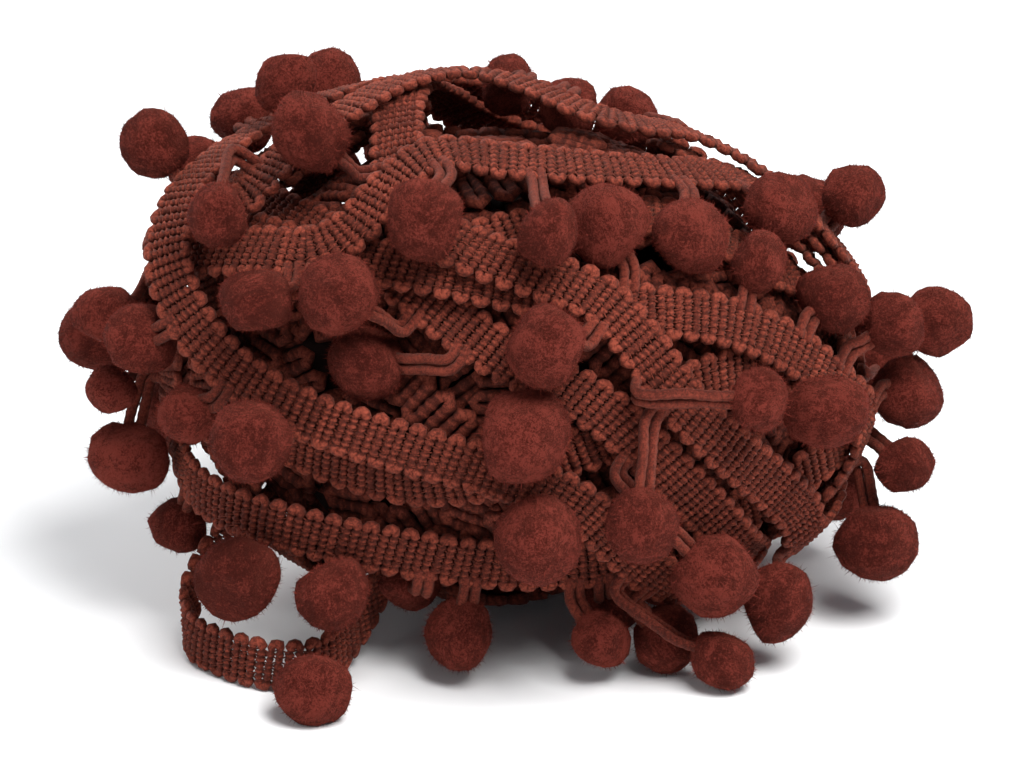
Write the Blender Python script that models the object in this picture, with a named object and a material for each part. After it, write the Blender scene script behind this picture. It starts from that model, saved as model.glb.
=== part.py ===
"""Pompom fringe trim wound into a loose ball.

The trim is one long run of woven heading braid with pompoms hung from one edge on doubled
loops.  The wound braid is one solid: the packed inner turns with the outer turns laid over
each other.  Along the fringed edge of each outer turn runs a narrow edge strip, parted from
the braid, which carries that turn's loops and pompoms.

Lengths in the tables are millimetres.  A place is given "across" and "up" in the show plane,
which passes through the ball's middle and is tipped back by SHOW_TILT from upright.
"""
import bmesh
import bpy
import numpy as np

MM = 0.001

# ---- the wound ball ---------------------------------------------------------------------------
SHOW_TILT = np.radians(22.0)
BALL_HALF = np.array([65.0, 47.0, 46.5])      # half sizes over the outer turns
CORE_HALF = np.array([54.5, 40.0, 39.0])      # half sizes of the packed inner turns
BALL_HEIGHT = 46.0                            # height of the middle over the rest
REST_HALF = (20.0, 14.5)                      # half sizes of the flat spot under the ball
CORE_STEPS = (34, 17)                         # round, and from foot to crown
PIT_FLOOR = 22.0                              # least core radius under a pressed-in pompom

# ---- the heading braid ------------------------------------------------------------------------
BRAID_WIDTH = 8.7                             # cloth width without the edge strip
BRAID_THICK = 2.4
STATION_STEP = 11.2                           # length of one straight facet along a turn
INNER_STEP = 14.0                             # the same for the buried turns
LAP_SINK = 0.25                               # how far a turn settles into the one below

# ---- the edge strip, loops and pompoms --------------------------------------------------------
PARTING = 0.5                                 # clear space between a braid and its strip
HANG_GAP = 0.8                                # least space about loops and pompoms
CLEARANCE = 0.32                              # room cut round the strips and loops
STRIP_WIDTH = 1.2
STRIP_THICK = 0.8
LOOP_WIDTH = 3.8
LOOP_THICK = 1.8
POMPOM_SIDES = 6
POMPOM_RINGS = 3
POMPOM_NECK = 48.0                            # where the wool opens out from the loop, degrees
POMPOM_UNEVEN = 0.05
FLOOR_SQUASH = 0.9                            # height of a pompom's middle on the floor, in radii
MOST_SUNK = 9.0                               # how far a pompom may sink from its wished place
MOST_PROUD = 20.0                             # and how far it may be pushed out
ASTRAY = 2.2                                  # cost of each mm astray in the show plane
MOST_LIFT = 6.0                               # how far a loop may be lifted over what it crosses
SHORT_SPAN = 2.2                              # loop spans shorter than this are left out
SHARPEST = -0.35                              # cosine of a loop's sharpest bend
ROOT_TRIES = 60                               # strip places looked at for each loop
HIDDEN_PITCH = 38.0                           # pompom spacing along the turned-away side
SHOW_REACH = 27.0                             # longest clear loop on the show side
HIDDEN_REACH = 11.5                           # and on the side turned away
HIDDEN_DIAMETER = 13.4

SEED = 61
WELD = 3e-7                                   # places nearer than this, in metres, are one
SPECK = 5.0                                   # shells under this many cubic mm are dropped
FLAT_ANGLES = (0.8, 0.2, 0.0)                  # facets this near to flat are merged, degrees
POMPOM_OWNER = 100                            # owner numbers of pompoms start here

CENTRE = np.array([0.0, 0.0, BALL_HEIGHT])
RIGHT = np.array([1.0, 0.0, 0.0])
UP = np.array([0.0, np.sin(SHOW_TILT), np.cos(SHOW_TILT)])
NEAR = np.array([0.0, -np.cos(SHOW_TILT), np.sin(SHOW_TILT)])

# Outer turns, lowest first.  "edge" is the fringed edge (+1 or -1, 0 when it is buried);
# "show" and "back" are (across, up) places on the near and far side of the ball.  "face" turns
# the near part of a turn towards the show side and "upright" stands it up like a hoop.
TURNS = {
    "inner_top": {"edge": 0, "show": [
        (-38.7, 18.0), (-24.3, 20.2), (-6.3, 25.2), (8.1, 28.6), (24.3, 30.6), (40.5, 28.3),
        (54.0, 19.3)], "back": [(33.3, 5.8), (-2.7, -10.4), (-33.3, -6.8)]},
    "inner_low": {"edge": -1, "show": [
        (-61.2, 2.2), (-54.0, -11.3), (-38.7, -19.1), (-20.7, -23.4), (-6.0, -22.0),
        (8.0, -18.0), (20.0, -13.5), (32.0, -6.0), (45.0, -1.5), (57.0, 0.5), (64.0, 6.0)],
        "back": [(44.1, 22.0), (15.3, 32.8), (-20.7, 34.6), (-47.7, 22.0)]},
    "left_outer": {"edge": 0, "show": [
        (-33.3, 45.0), (-45.5, 36.7), (-54.5, 28.3), (-61.0, 18.0), (-63.5, 5.8),
        (-61.0, -10.4), (-54.0, -24.8)],
        "back": [(-38.7, -35.6), (-40.5, -14.0), (-42.3, 11.2), (-40.5, 32.8)]},
    "left_inner": {"edge": 0, "show": [
        (-20.7, 47.2), (-35.1, 42.1), (-46.3, 31.9), (-54.2, 21.1), (-57.4, 7.6),
        (-55.8, -10.4), (-47.7, -28.4)],
        "back": [(-29.7, -35.6), (-26.1, -10.4), (-26.1, 14.8), (-23.4, 36.4)]},
    "right_outer": {"edge": 0, "show": [
        (33.3, 43.6), (45.9, 35.5), (56.0, 25.2), (62.1, 13.0), (64.3, -1.4), (62.1, -15.8),
        (54.9, -30.2)], "back": [(40.5, -35.6), (33.3, -12.2), (31.5, 11.2), (29.7, 31.0)]},
    "low_loop": {"edge": -1, "face": 0.25, "upright": 0.75, "show": [
        (-63.0, 1.5), (-63.8, -7.5), (-60.7, -16.2), (-52.7, -22.7),
        (-38.7, -28.4), (-20.7, -33.5), (-2.7, -37.4), (15.3, -38.3), (33.3, -34.2),
        (51.3, -24.8), (63.5, -10.4)],
        "back": [(56.7, 11.2), (33.3, 18.4), (0.9, 18.4), (-29.7, 15.0), (-51.0, 10.0)]},
    "middle": {"edge": -1, "show": [
        (-46.3, 31.0), (-36.9, 25.2), (-27.9, 19.3), (-19.8, 15.7), (-14.4, 11.2), (-7.2, 5.4),
        (1.8, 0.0), (15.3, -7.2), (24.3, -14.9), (34.2, -24.8), (44.1, -34.2)],
        "back": [(51.3, -14.0), (33.3, 14.8), (4.5, 34.6), (-24.3, 40.0)]},
    "right_sweep": {"edge": 1, "show": [
        (-52.2, 22.0), (-35.1, 18.0), (-17.1, 15.7), (-2.7, 13.0), (11.7, 10.8), (22.5, 9.0),
        (33.3, 8.3), (44.1, 6.1), (53.1, 1.8), (60.3, -5.9), (64.3, -14.9)],
        "back": [(51.3, -28.4), (15.3, -24.8), (-20.7, -6.8), (-47.7, 11.2)]},
    "crossing": {"edge": -1, "show": [
        (-19.0, 38.0), (-18.5, 29.0), (-12.5, 21.5), (2.7, 15.8), (13.9, 11.9), (22.5, 3.6),
        (30.4, -6.8), (40.5, -16.2), (51.3, -26.6), (60.7, -36.0)],
        "back": [(53.0, -6.0), (36.0, 18.0), (14.0, 33.0), (-7.0, 41.0)]},
    "second": {"edge": -1, "show": [
        (-33.3, 18.4), (-23.4, 25.9), (-15.3, 33.5), (0.9, 34.9), (17.1, 36.0), (33.3, 35.8),
        (45.9, 33.1), (57.8, 24.7)],
        "back": [(60.3, 5.8), (36.9, -12.2), (4.5, -17.6), (-20.7, -6.8)]},
    "top": {"edge": 1, "show": [
        (-45.5, 22.0), (-35.5, 32.8), (-26.1, 38.9), (-17.1, 43.9), (-4.5, 46.1), (15.3, 42.8),
        (33.3, 40.3), (49.5, 34.9), (60.3, 23.4)],
        "back": [(60.3, 11.2), (33.3, 5.8), (-2.7, 5.8), (-33.3, 7.6)]},
    "left_sweep": {"edge": -1, "face": 0.45, "show": [
        (-30.6, 41.4), (-38.7, 37.8), (-45.5, 31.0), (-49.5, 22.0), (-50.9, 11.2), (-47.7, 0.4),
        (-38.7, -7.7), (-26.1, -13.1), (-13.5, -16.7), (-1.8, -19.6), (8.5, -23.5),
        (18.0, -30.0), (27.0, -37.5)],
        "back": [(42.0, -22.0), (46.0, 4.0), (33.3, 29.0), (0.9, 40.5)]},
}

# The slack length that slips out of the ball and stands on its edge on the floor: x, y and
# height of its middle line.  The first and last places lie inside the ball.
SLACK = [(-36.0, -10.0, 26.0), (-50.0, -15.5, 20.0), (-58.0, -20.0, 11.0), (-58.5, -29.0, 6.2),
         (-52.0, -38.0, 6.0), (-43.0, -43.5, 6.0), (-34.0, -41.0, 6.0), (-28.0, -31.0, 8.5),
         (-22.0, -19.0, 16.0)]
SLACK_EDGED = (2, 8)                          # stations between which its edge strip shows

# Pompoms of the show side: the middle of the pompom across and up, its diameter, and where its
# loop leaves the braid across and up.
POMPOM_COLUMNS = ("across", "up", "diameter", "root_across", "root_up")
POMPOMS = [
    (-14.4, 49.0, 9.5, -13.5, 46.5),
    (-1.4, 49.9, 11.5, 0.9, 47.5),
    (8.6, 47.2, 10.5, 10.0, 45.6),
    (-37.5, 46.5, 11.5, -30.6, 39.5),
    (-56.7, 31.9, 12.0, -51.5, 29.0),
    (-73.4, 8.5, 11.0, -61.0, 8.0),
    (-72.3, -4.7, 8.5, -61.0, -4.0),
    (-36.0, 35.5, 14.5, -20.7, 30.5),
    (-16.2, 25.2, 13.2, -13.5, 30.0),
    (5.8, 22.9, 11.5, 5.4, 30.0),
    (31.5, 22.0, 14.0, 31.5, 31.0),
    (47.7, 28.3, 13.0, 45.0, 30.0),
    (59.0, 27.7, 11.5, 52.7, 30.0),
    (63.0, -1.8, 9.5, 60.0, 0.0),
    (61.2, -28.4, 10.5, 58.0, -19.0),
    (-66.6, 4.0, 13.0, -54.0, 4.0),
    (-54.0, -5.9, 11.5, -50.0, -4.0),
    (-47.3, -14.0, 15.0, -40.5, -12.0),
    (4.5, -31.3, 13.6, 8.5, -22.0),
    (43.2, -6.8, 11.5, 40.5, -6.0),
    (55.3, -9.0, 15.0, 51.3, -6.0),
    (60.3, -20.3, 10.0, 61.0, -8.0),
    (-44.5, 24.5, 11.5, -38.7, 20.0),
    (-34.2, 20.2, 12.0, -31.0, 16.0),
    (-43.7, 13.0, 13.0, -30.0, 15.0),
    (-31.0, 11.7, 14.2, -16.2, 7.9),
    (-26.1, 0.0, 14.0, -9.0, -0.5),
    (1.3, -12.8, 15.8, 9.5, -8.5),
    (5.4, 3.1, 15.0, 18.0, 8.5),
    (22.5, -28.8, 13.8, 26.5, -14.0),
    (33.8, -36.5, 14.0, 36.9, -20.5),
    (46.8, -42.8, 13.0, 45.0, -28.0),
    (52.7, -56.3, 11.0, 56.7, -40.0),
    (-35.5, -58.1, 12.0, -33.0, -52.0),
    (18.0, 22.0, 13.8, 19.8, 14.5),
    (40.5, 18.0, 10.0, 43.5, 11.0),
    (54.9, 9.4, 12.0, 52.7, 6.0),
    (68.0, 6.7, 12.0, 62.0, -1.0),
    (70.2, -18.9, 11.5, 67.0, -12.0),
    (-69.7, -17.1, 14.0, -63.9, -12.0),
    (-60.3, -29.3, 10.0, -58.0, -22.5),
    (-49.5, -38.7, 14.8, -47.7, -29.5),
    (-40.5, -33.8, 10.5, -38.7, -32.0),
    (-32.4, -41.4, 13.8, -29.7, -36.0),
    (-18.0, -38.9, 10.5, -18.0, -38.0),
    (-9.9, -48.6, 13.4, -3.6, -41.0),
    (16.7, -41.0, 13.0, 15.3, -42.5),
    (25.2, -48.2, 11.0, 24.3, -41.0),
    (36.9, -50.0, 11.0, 34.2, -38.0),
    (15.3, -48.2, 10.5, 9.0, -42.5),
]


# ---- directions and distances -----------------------------------------------------------------
def unit(v):
    """Vectors along the last axis brought to length one."""
    return v / np.maximum(np.linalg.norm(v, axis=-1, keepdims=True), 1e-9)


def half_radius(direction, half):
    """Distance from the middle to the ellipsoid with these half sizes, along a direction."""
    return 1.0 / np.sqrt(np.sum((direction / half) ** 2, axis=-1))


def show_place(across, up, side):
    """Point, from the ball's middle, on its near (+1) or far (-1) side at this show place."""
    flat = across * RIGHT + up * UP
    a = np.sum((NEAR / BALL_HALF) ** 2)
    b = np.sum(flat * NEAR / BALL_HALF ** 2)
    rim = np.sum((flat / BALL_HALF) ** 2) - b * b / a
    if rim > 0.995:
        flat = flat * np.sqrt(0.995 / rim)
        b = np.sum(flat * NEAR / BALL_HALF ** 2)
    c = np.sum((flat / BALL_HALF) ** 2) - 1.0
    depth = (-b + side * np.sqrt(max(b * b - a * c, 0.0))) / a
    return flat + depth * NEAR


def smooth_closed(points, steps=24):
    """Closed Catmull-Rom curve through points."""
    p = np.asarray(points)
    before, after, beyond = np.roll(p, 1, 0), np.roll(p, -1, 0), np.roll(p, -2, 0)
    out = []
    for t in np.arange(steps) / steps:
        out.append(0.5 * (2 * p + (after - before) * t
                          + (2 * before - 5 * p + 4 * after - beyond) * t ** 2
                          + (3 * p - before - 3 * after + beyond) * t ** 3))
    return np.stack(out, 1).reshape(-1, 3)


def spaced(curve, step):
    """Closed curve cut into equal lengths of about one step."""
    loop = np.vstack([curve, curve[:1]])
    run = np.concatenate([[0.0], np.cumsum(np.linalg.norm(np.diff(loop, axis=0), axis=1))])
    count = int(round(run[-1] / step))
    marks = np.arange(count) * run[-1] / count
    return np.stack([np.interp(marks, run, loop[:, k]) for k in range(3)], 1)


# ---- what has been laid so far, as small balls ------------------------------------------------
class Laid:
    """Small balls filling the pieces laid so far, used to lay the next piece clear of them."""

    def __init__(self):
        self.places = np.zeros((0, 3))
        self.radii = np.zeros(0)
        self.owners = np.zeros(0, dtype=int)

    def add(self, places, radius, owner):
        """Add balls of one radius for one owner."""
        self.places = np.vstack([self.places, places])
        self.radii = np.concatenate([self.radii, np.full(len(places), radius)])
        self.owners = np.concatenate([self.owners, np.full(len(places), owner)])

    def spans(self, start, direction, radius, gap, skip=()):
        """Blocked stretches (from, to) along a line for a ball of this radius."""
        keep = ~np.isin(self.owners, list(skip))
        offset = self.places[keep] - start
        along = offset @ direction
        reach = (self.radii[keep] + radius + gap) ** 2 - (np.sum(offset ** 2, 1) - along ** 2)
        hit = reach > 0
        half = np.sqrt(reach[hit])
        return along[hit] - half, along[hit] + half

    def least(self, directions, radius, gap, skip=(), only=None):
        """Least distance from the middle, along each direction, that clears all from outside."""
        keep = ~np.isin(self.owners, list(skip))
        if only is not None:
            keep &= self.owners < only
        places, radii = self.places[keep], self.radii[keep]
        out = np.zeros(len(directions))
        square = np.sum(places ** 2, 1)
        for first in range(0, len(directions), 256):
            along = directions[first:first + 256] @ places.T
            reach = (radii + radius + gap) ** 2 - (square - along ** 2)
            far = np.where((reach > 0) & (along > 0), along + np.sqrt(np.maximum(reach, 0)), 0)
            out[first:first + 256] = far.max(axis=1) if len(places) else 0
        return out


def nearest_free(laid, start, line, wish, radius, bounds):
    """Places along a line, next to the wished one each way, where a ball clears all laid."""
    low, high = laid.spans(start, line, radius, HANG_GAP)
    tries = np.concatenate([[wish], high + 1e-3, low - 1e-3])
    tries = tries[(tries > wish - MOST_SUNK) & (tries < wish + MOST_PROUD)]
    tries = tries[(tries >= bounds[0]) & (tries <= bounds[1])]
    free = ~((low[None] < tries[:, None]) & (tries[:, None] < high[None])).any(axis=1)
    tries = tries[free]
    found = []
    if (tries >= wish).any():
        found.append(tries[tries >= wish].min())
    if (tries < wish).any():
        found.append(tries[tries < wish].max())
    return found


def floor_bounds(start, line, radius):
    """Stretch of a line on which a pompom stays on or over the floor."""
    lowest = FLOOR_SQUASH * radius - BALL_HEIGHT - start[2]
    if line[2] > 1e-6:
        return lowest / line[2], 1e9
    if line[2] < -1e-6:
        return -1e9, lowest / line[2]
    return -1e9, 1e9


def settle(laid, options, radius):
    """Middle for a pompom: the best of several (start, line, wish, penalty, goal) options."""
    best = None
    for start, line, wish, penalty, goal in options:
        bounds = floor_bounds(start, line, radius)
        wish = min(max(wish, bounds[0]), bounds[1])
        for depth in nearest_free(laid, start, line, wish, radius, bounds):
            centre = start + line * depth
            cost = abs(depth - wish) + penalty
            astray = centre - goal
            cost += ASTRAY * np.linalg.norm(astray - (astray @ NEAR) * NEAR)
            if best is not None and cost >= best[0]:
                continue
            over = laid.least(unit(centre)[None], 0.3 * radius, 0.0, only=len(TURNS) + 1)[0]
            if over <= np.linalg.norm(centre):
                best = (cost, centre)
    return best


# ---- laying the turns -------------------------------------------------------------------------
def frame_of(points, face=0.0, upright=0.0):
    """Running direction, outward normal and width direction at each station of a closed turn."""
    along = unit(np.roll(points, -1, 0) - np.roll(points, 1, 0))
    out = unit(points / BALL_HALF ** 2)
    out = unit(out * np.array([1.0, 1.0, 1.0 - upright]))
    out = unit(out + face * np.maximum(out @ NEAR, 0.0)[:, None] ** 0.5 * NEAR)
    out = unit(out - np.sum(out * along, 1, keepdims=True) * along)
    return along, out, np.cross(out, along)


def lay_turn(laid, path, step, base, face, upright):
    """Stations of one turn, lifted clear over all the turns it crosses."""
    points = spaced(path, step)
    directions = unit(points)
    floor = half_radius(directions, CORE_HALF) + base
    rest = np.where(directions[:, 2] < -0.05,
                    (BALL_HEIGHT - 0.7 * BRAID_WIDTH) / np.maximum(-directions[:, 2], 0.05), 1e9)
    floor = np.minimum(floor, rest)
    radii = floor.copy()
    count = len(radii)
    shares = np.array([0.0, 0.25, 0.5, 0.75])
    lanes = np.linspace(-0.5, 0.5, 5) * (BRAID_WIDTH + 2.5)
    for _ in range(10):
        points = directions * radii[:, None]
        _, _, width = frame_of(points, face, upright)
        here = points[:, None, None] + width[:, None, None] * lanes[None, None, :, None]
        after = np.roll(here, -1, 0)
        mix = here * (1 - shares)[None, :, None, None] + after * shares[None, :, None, None]
        probe = mix.reshape(-1, 3)
        need = laid.least(unit(probe), BRAID_THICK / 2, -LAP_SINK)
        lack = (need - np.linalg.norm(probe, axis=1)).reshape(count, len(shares), len(lanes))
        lack = np.maximum(lack, 0).max(axis=2)
        rise = np.maximum(lack.max(axis=1), np.roll(lack[:, 1:].max(axis=1), 1))
        if rise.max() < 0.02:
            break
        radii = radii + 0.85 * rise
        for _ in range(2):
            mean = 0.25 * np.roll(radii, 1) + 0.5 * radii + 0.25 * np.roll(radii, -1)
            radii = np.maximum(radii, mean)
    return directions * radii[:, None]


def fill_ribbon(points, width, low, high, closed=True, step=1.3):
    """Points filling a ribbon between two offsets across its width."""
    last = len(points) if closed else len(points) - 1
    here, there = points[:last], np.roll(points, -1, 0)[:last]
    side, beside = width[:last], np.roll(width, -1, 0)[:last]
    count = max(2, int(np.linalg.norm(there - here, axis=1).max() / step))
    lanes = np.linspace(low, high, max(2, round((high - low) / step) + 1))
    out = []
    for share in np.arange(count) / count:
        mid = here * (1 - share) + there * share
        across = side * (1 - share) + beside * share
        for lane in lanes:
            out.append(mid + across * lane)
    return np.vstack(out)


def lay_slack(laid, order):
    """The slack length standing on the floor, as a turn that is open at both ends."""
    points = np.array(SLACK) - CENTRE
    along = unit(np.gradient(points, axis=0))
    normal = unit(np.cross(along, np.array([0.0, 0.0, -1.0])))
    width = np.cross(normal, along)
    if width[4, 2] < 0:
        normal, width = -normal, -width
    half = BRAID_WIDTH / 2
    laid.add(fill_ribbon(points, width, -half + 0.6, half - 0.6, False), BRAID_THICK / 2, order)
    first, last = SLACK_EDGED
    off = half + PARTING + STRIP_WIDTH / 2
    laid.add(fill_ribbon(points[first:last] - width[first:last] * off, width[first:last],
                         -0.1, 0.1, False), STRIP_THICK / 2 + 0.35, order)
    return {"order": order, "points": points, "normal": normal, "width": width, "edge": -1,
            "closed": False}


# ---- meshes -----------------------------------------------------------------------------------
def ring_mesh(points, width, normal, middle, half_width, half_thick, closed=True):
    """Four-sided band along stations: closed on itself, or capped at both ends."""
    centre = points + width * middle
    corners = [centre - width * half_width - normal * half_thick,
               centre + width * half_width - normal * half_thick,
               centre + width * half_width + normal * half_thick,
               centre - width * half_width + normal * half_thick]
    verts = np.stack(corners, 1).reshape(-1, 3)
    count = len(points)
    faces = []
    for i in range(count if closed else count - 1):
        j = (i + 1) % count
        for k in range(4):
            m = (k + 1) % 4
            faces.append((4 * i + k, 4 * i + m, 4 * j + m, 4 * j + k))
    if not closed:
        faces.append((3, 2, 1, 0))
        last = 4 * (count - 1)
        faces.append((last, last + 1, last + 2, last + 3))
    return verts, faces


def stitch(first, first_turns, second, second_turns):
    """Triangles between two rings of vertices, matched by their turn about the same axis."""
    faces = []
    i = j = 0
    m, n = len(first), len(second)
    while i < m or j < n:
        next_i = first_turns[i % m] + 2 * np.pi * (i // m) if i < m else 1e9
        next_j = second_turns[j % n] + 2 * np.pi * (j // n) if j < n else 1e9
        if next_i <= next_j:
            faces.append((first[i % m], first[(i + 1) % m], second[j % n]))
            i += 1
        else:
            faces.append((first[i % m], second[(j + 1) % n], second[j % n]))
            j += 1
    return faces


def hung_pompom_mesh(stations, width, normal, centre, radius, rng):
    """One doubled loop with its pompom: a four-sided strap running into an uneven ball."""
    verts, faces = ring_mesh(stations, width, normal, 0.0, LOOP_WIDTH / 2, LOOP_THICK / 2,
                             closed=False)
    verts = list(verts)
    faces.pop()
    axis = unit(centre - stations[-1])
    side = unit(width[-1] - (width[-1] @ axis) * axis)
    up = np.cross(axis, side)
    neck = list(range(len(verts) - 4, len(verts)))
    neck_turns = [np.arctan2((verts[k] - stations[-1]) @ up, (verts[k] - stations[-1]) @ side)
                  for k in neck]
    order = np.argsort(neck_turns)
    ring, turns = [neck[k] for k in order], [neck_turns[k] for k in order]
    for number in range(POMPOM_RINGS):
        tip = np.radians(POMPOM_NECK + (150.0 - POMPOM_NECK) * number / (POMPOM_RINGS - 1))
        angles = (np.arange(POMPOM_SIDES) + 0.5 * (number % 2)) * 2 * np.pi / POMPOM_SIDES
        angles = angles - np.pi + 0.2
        fresh = []
        for turn in angles:
            reach = radius * (1.01 + rng.uniform(-POMPOM_UNEVEN, POMPOM_UNEVEN))
            out = np.cos(turn) * side + np.sin(turn) * up
            fresh.append(len(verts))
            verts.append(centre + reach * (np.sin(tip) * out - np.cos(tip) * axis))
        faces += stitch(ring, turns, fresh, list(angles))
        ring, turns = fresh, list(angles)
    verts.append(centre + axis * radius)
    for k in range(POMPOM_SIDES):
        faces.append((ring[k], ring[(k + 1) % POMPOM_SIDES], len(verts) - 1))
    verts = np.array(verts)
    verts[:, 2] = np.maximum(verts[:, 2], 0.0)
    return verts, faces


def make_object(name, parts, material=None):
    """One mesh object from vertex and face lists, placed in world metres."""
    mesh = bpy.data.meshes.new(name)
    bm = bmesh.new()
    for verts, faces in parts:
        made = [bm.verts.new(v * MM) for v in verts]
        for face in faces:
            bm.faces.new([made[i] for i in face])
    bmesh.ops.triangulate(bm, faces=bm.faces[:])
    bmesh.ops.recalc_face_normals(bm, faces=bm.faces[:])
    bm.to_mesh(mesh)
    bm.free()
    obj = bpy.data.objects.new(name, mesh)
    bpy.context.scene.collection.objects.link(obj)
    if material:
        mesh.materials.append(material)
    return obj


def fused_mesh(base, group, operation, solver):
    """Evaluated mesh of the base joined with, or cut by, a group of solids."""
    joint = base.modifiers.new("join", "BOOLEAN")
    joint.operation = operation
    joint.solver = solver
    joint.operand_type = "COLLECTION"
    joint.collection = group
    if solver == "EXACT":
        joint.use_self = True
    graph = bpy.context.evaluated_depsgraph_get()
    mesh = bpy.data.meshes.new_from_object(base.evaluated_get(graph))
    base.modifiers.clear()
    return mesh


def is_closed(bm):
    """Whether each edge of a triangulated mesh has just two faces, once near places are one."""
    for shift in (0.0, 0.25, 0.5, 0.75):
        places = {vert: tuple(int(round(value / WELD + shift)) for value in vert.co)
                  for vert in bm.verts}
        sides = {}
        for face in bm.faces:
            corners = [places[vert] for vert in face.verts]
            if len(set(corners)) < 3:
                return False
            for start, end in zip(corners, corners[1:] + corners[:1]):
                key = (min(start, end), max(start, end))
                sides[key] = sides.get(key, 0) + 1
        if any(count != 2 for count in sides.values()):
            return False
    return True


def fuse(base, others, operation):
    """Join solids into the base, or cut them from it: exact, or manifold where exact fails."""
    group = bpy.data.collections.new(base.name + "_parts")
    for other in others:
        group.objects.link(other)
    fused = fused_mesh(base, group, operation, "EXACT")
    bm = bmesh.new()
    bm.from_mesh(fused)
    bmesh.ops.triangulate(bm, faces=bm.faces[:])
    if not is_closed(bm):
        fused = fused_mesh(base, group, operation, "MANIFOLD")
    bm.free()
    old = base.data
    base.data = fused
    bpy.data.meshes.remove(old)
    for other in others:
        bpy.data.objects.remove(other)
    bpy.data.collections.remove(group)
    return base


def shells(bm):
    """Connected groups of faces."""
    left = set(bm.faces)
    while left:
        island = {left.pop()}
        queue = list(island)
        while queue:
            for edge in queue.pop().edges:
                fresh = [face for face in edge.link_faces if face in left]
                left.difference_update(fresh)
                island.update(fresh)
                queue += fresh
        yield list(island)


def closed_volume(faces):
    """Signed volume inside triangles."""
    total = 0.0
    for face in faces:
        a, b, c = (vert.co for vert in face.verts)
        total += a.dot(b.cross(c)) / 6
    return total


def tidy_solid(obj):
    """Drop sealed inner shells and specks, and merge flat facets where the mesh stays closed."""
    for flat in FLAT_ANGLES:
        bm = bmesh.new()
        bm.from_mesh(obj.data)
        bmesh.ops.triangulate(bm, faces=bm.faces[:])
        for island in list(shells(bm)):
            if closed_volume(island) < SPECK * MM ** 3:
                bmesh.ops.delete(bm, geom=island, context="FACES")
        loose = [vert for vert in bm.verts if not vert.link_faces]
        bmesh.ops.delete(bm, geom=loose, context="VERTS")
        volume = closed_volume(bm.faces)
        bmesh.ops.dissolve_degenerate(bm, edges=bm.edges, dist=0.000001)
        if flat:
            bmesh.ops.dissolve_limit(bm, angle_limit=np.radians(flat), verts=bm.verts,
                                     edges=bm.edges)
        bmesh.ops.triangulate(bm, faces=bm.faces[:])
        kept = abs(closed_volume(bm.faces) / volume - 1.0) < 0.002
        closed = is_closed(bm)
        if (closed and kept) or not flat:
            bm.to_mesh(obj.data)
        bm.free()
        if closed and kept:
            return


# ---- the packed inner turns -------------------------------------------------------------------
def core_grid():
    """Directions and triangles of the core: rings from the foot up to the crown."""
    around, rise = CORE_STEPS
    directions = [np.array([0.0, 0.0, -1.0])]
    for ring in range(1, rise):
        lift = -np.pi / 2 + np.pi * ring / rise
        for k in range(around):
            turn = 2 * np.pi * (k + 0.5 * (ring % 2)) / around
            directions.append(np.array([np.cos(lift) * np.cos(turn),
                                        np.cos(lift) * np.sin(turn), np.sin(lift)]))
    directions.append(np.array([0.0, 0.0, 1.0]))
    faces = []
    top = len(directions) - 1
    last = 1 + (rise - 2) * around
    for k in range(around):
        m = (k + 1) % around
        faces.append((0, 1 + m, 1 + k))
        faces.append((top, last + k, last + m))
        for ring in range(rise - 2):
            a = 1 + ring * around
            b = a + around
            if ring % 2 == 0:
                faces.append((a + k, a + m, b + k))
                faces.append((a + m, b + m, b + k))
            else:
                faces.append((a + k, a + m, b + m))
                faces.append((a + k, b + m, b + k))
    return unit(np.array(directions) * np.array([1.0, 0.8, 0.8])), np.array(faces)


def inner_limit(directions, laid, gap):
    """Greatest distance from the middle, along each direction, that stays inside all balls."""
    out = np.full(len(directions), 1e9)
    square = np.sum(laid.places ** 2, 1)
    for first in range(0, len(directions), 512):
        along = directions[first:first + 512] @ laid.places.T
        reach = (laid.radii + gap) ** 2 - (square - along ** 2)
        near = np.where((reach > 0) & (along > 0), along - np.sqrt(np.maximum(reach, 0)), 1e9)
        out[first:first + 512] = near.min(axis=1)
    return out


def press_core(directions, faces, radii, laid, gap):
    """Press the core in until every facet clears the strips, loops and pompoms."""
    cuts = 4
    weights = np.array([(i, j, cuts - i - j) for i in range(cuts + 1)
                        for j in range(cuts + 1 - i)]) / cuts
    corners = directions[faces] * radii[faces][:, :, None]
    probes = unit(np.einsum("wk,fkc->fwc", weights, corners).reshape(-1, 3))
    limit = inner_limit(probes, laid, gap).reshape(len(faces), -1)
    for _ in range(90):
        corners = directions[faces] * radii[faces][:, :, None]
        length = np.linalg.norm(np.einsum("wk,fkc->fwc", weights, corners), axis=2)
        bad = length > limit
        touched = np.zeros(len(radii), dtype=bool)
        for k in range(3):
            lean = (bad & (weights[None, :, k] > 0.2)).any(axis=1)
            touched[faces[lean, k]] = True
        if not touched.any():
            break
        radii = np.where(touched, np.maximum(radii - 0.4, PIT_FLOOR), radii)
    return radii


# ---- build ------------------------------------------------------------------------------------
def clear_scene():
    """Remove the start-up objects."""
    for obj in list(bpy.data.objects):
        bpy.data.objects.remove(obj)


def yarn_material(name, colour, roughness):
    """Plain dyed yarn."""
    material = bpy.data.materials.new(name)
    material.use_nodes = True
    shader = material.node_tree.nodes["Principled BSDF"]
    shader.inputs["Base Color"].default_value = (*colour, 1.0)
    shader.inputs["Roughness"].default_value = roughness
    shader.inputs["Metallic"].default_value = 0.0
    material.diffuse_color = (*colour, 1.0)
    return material


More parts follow.
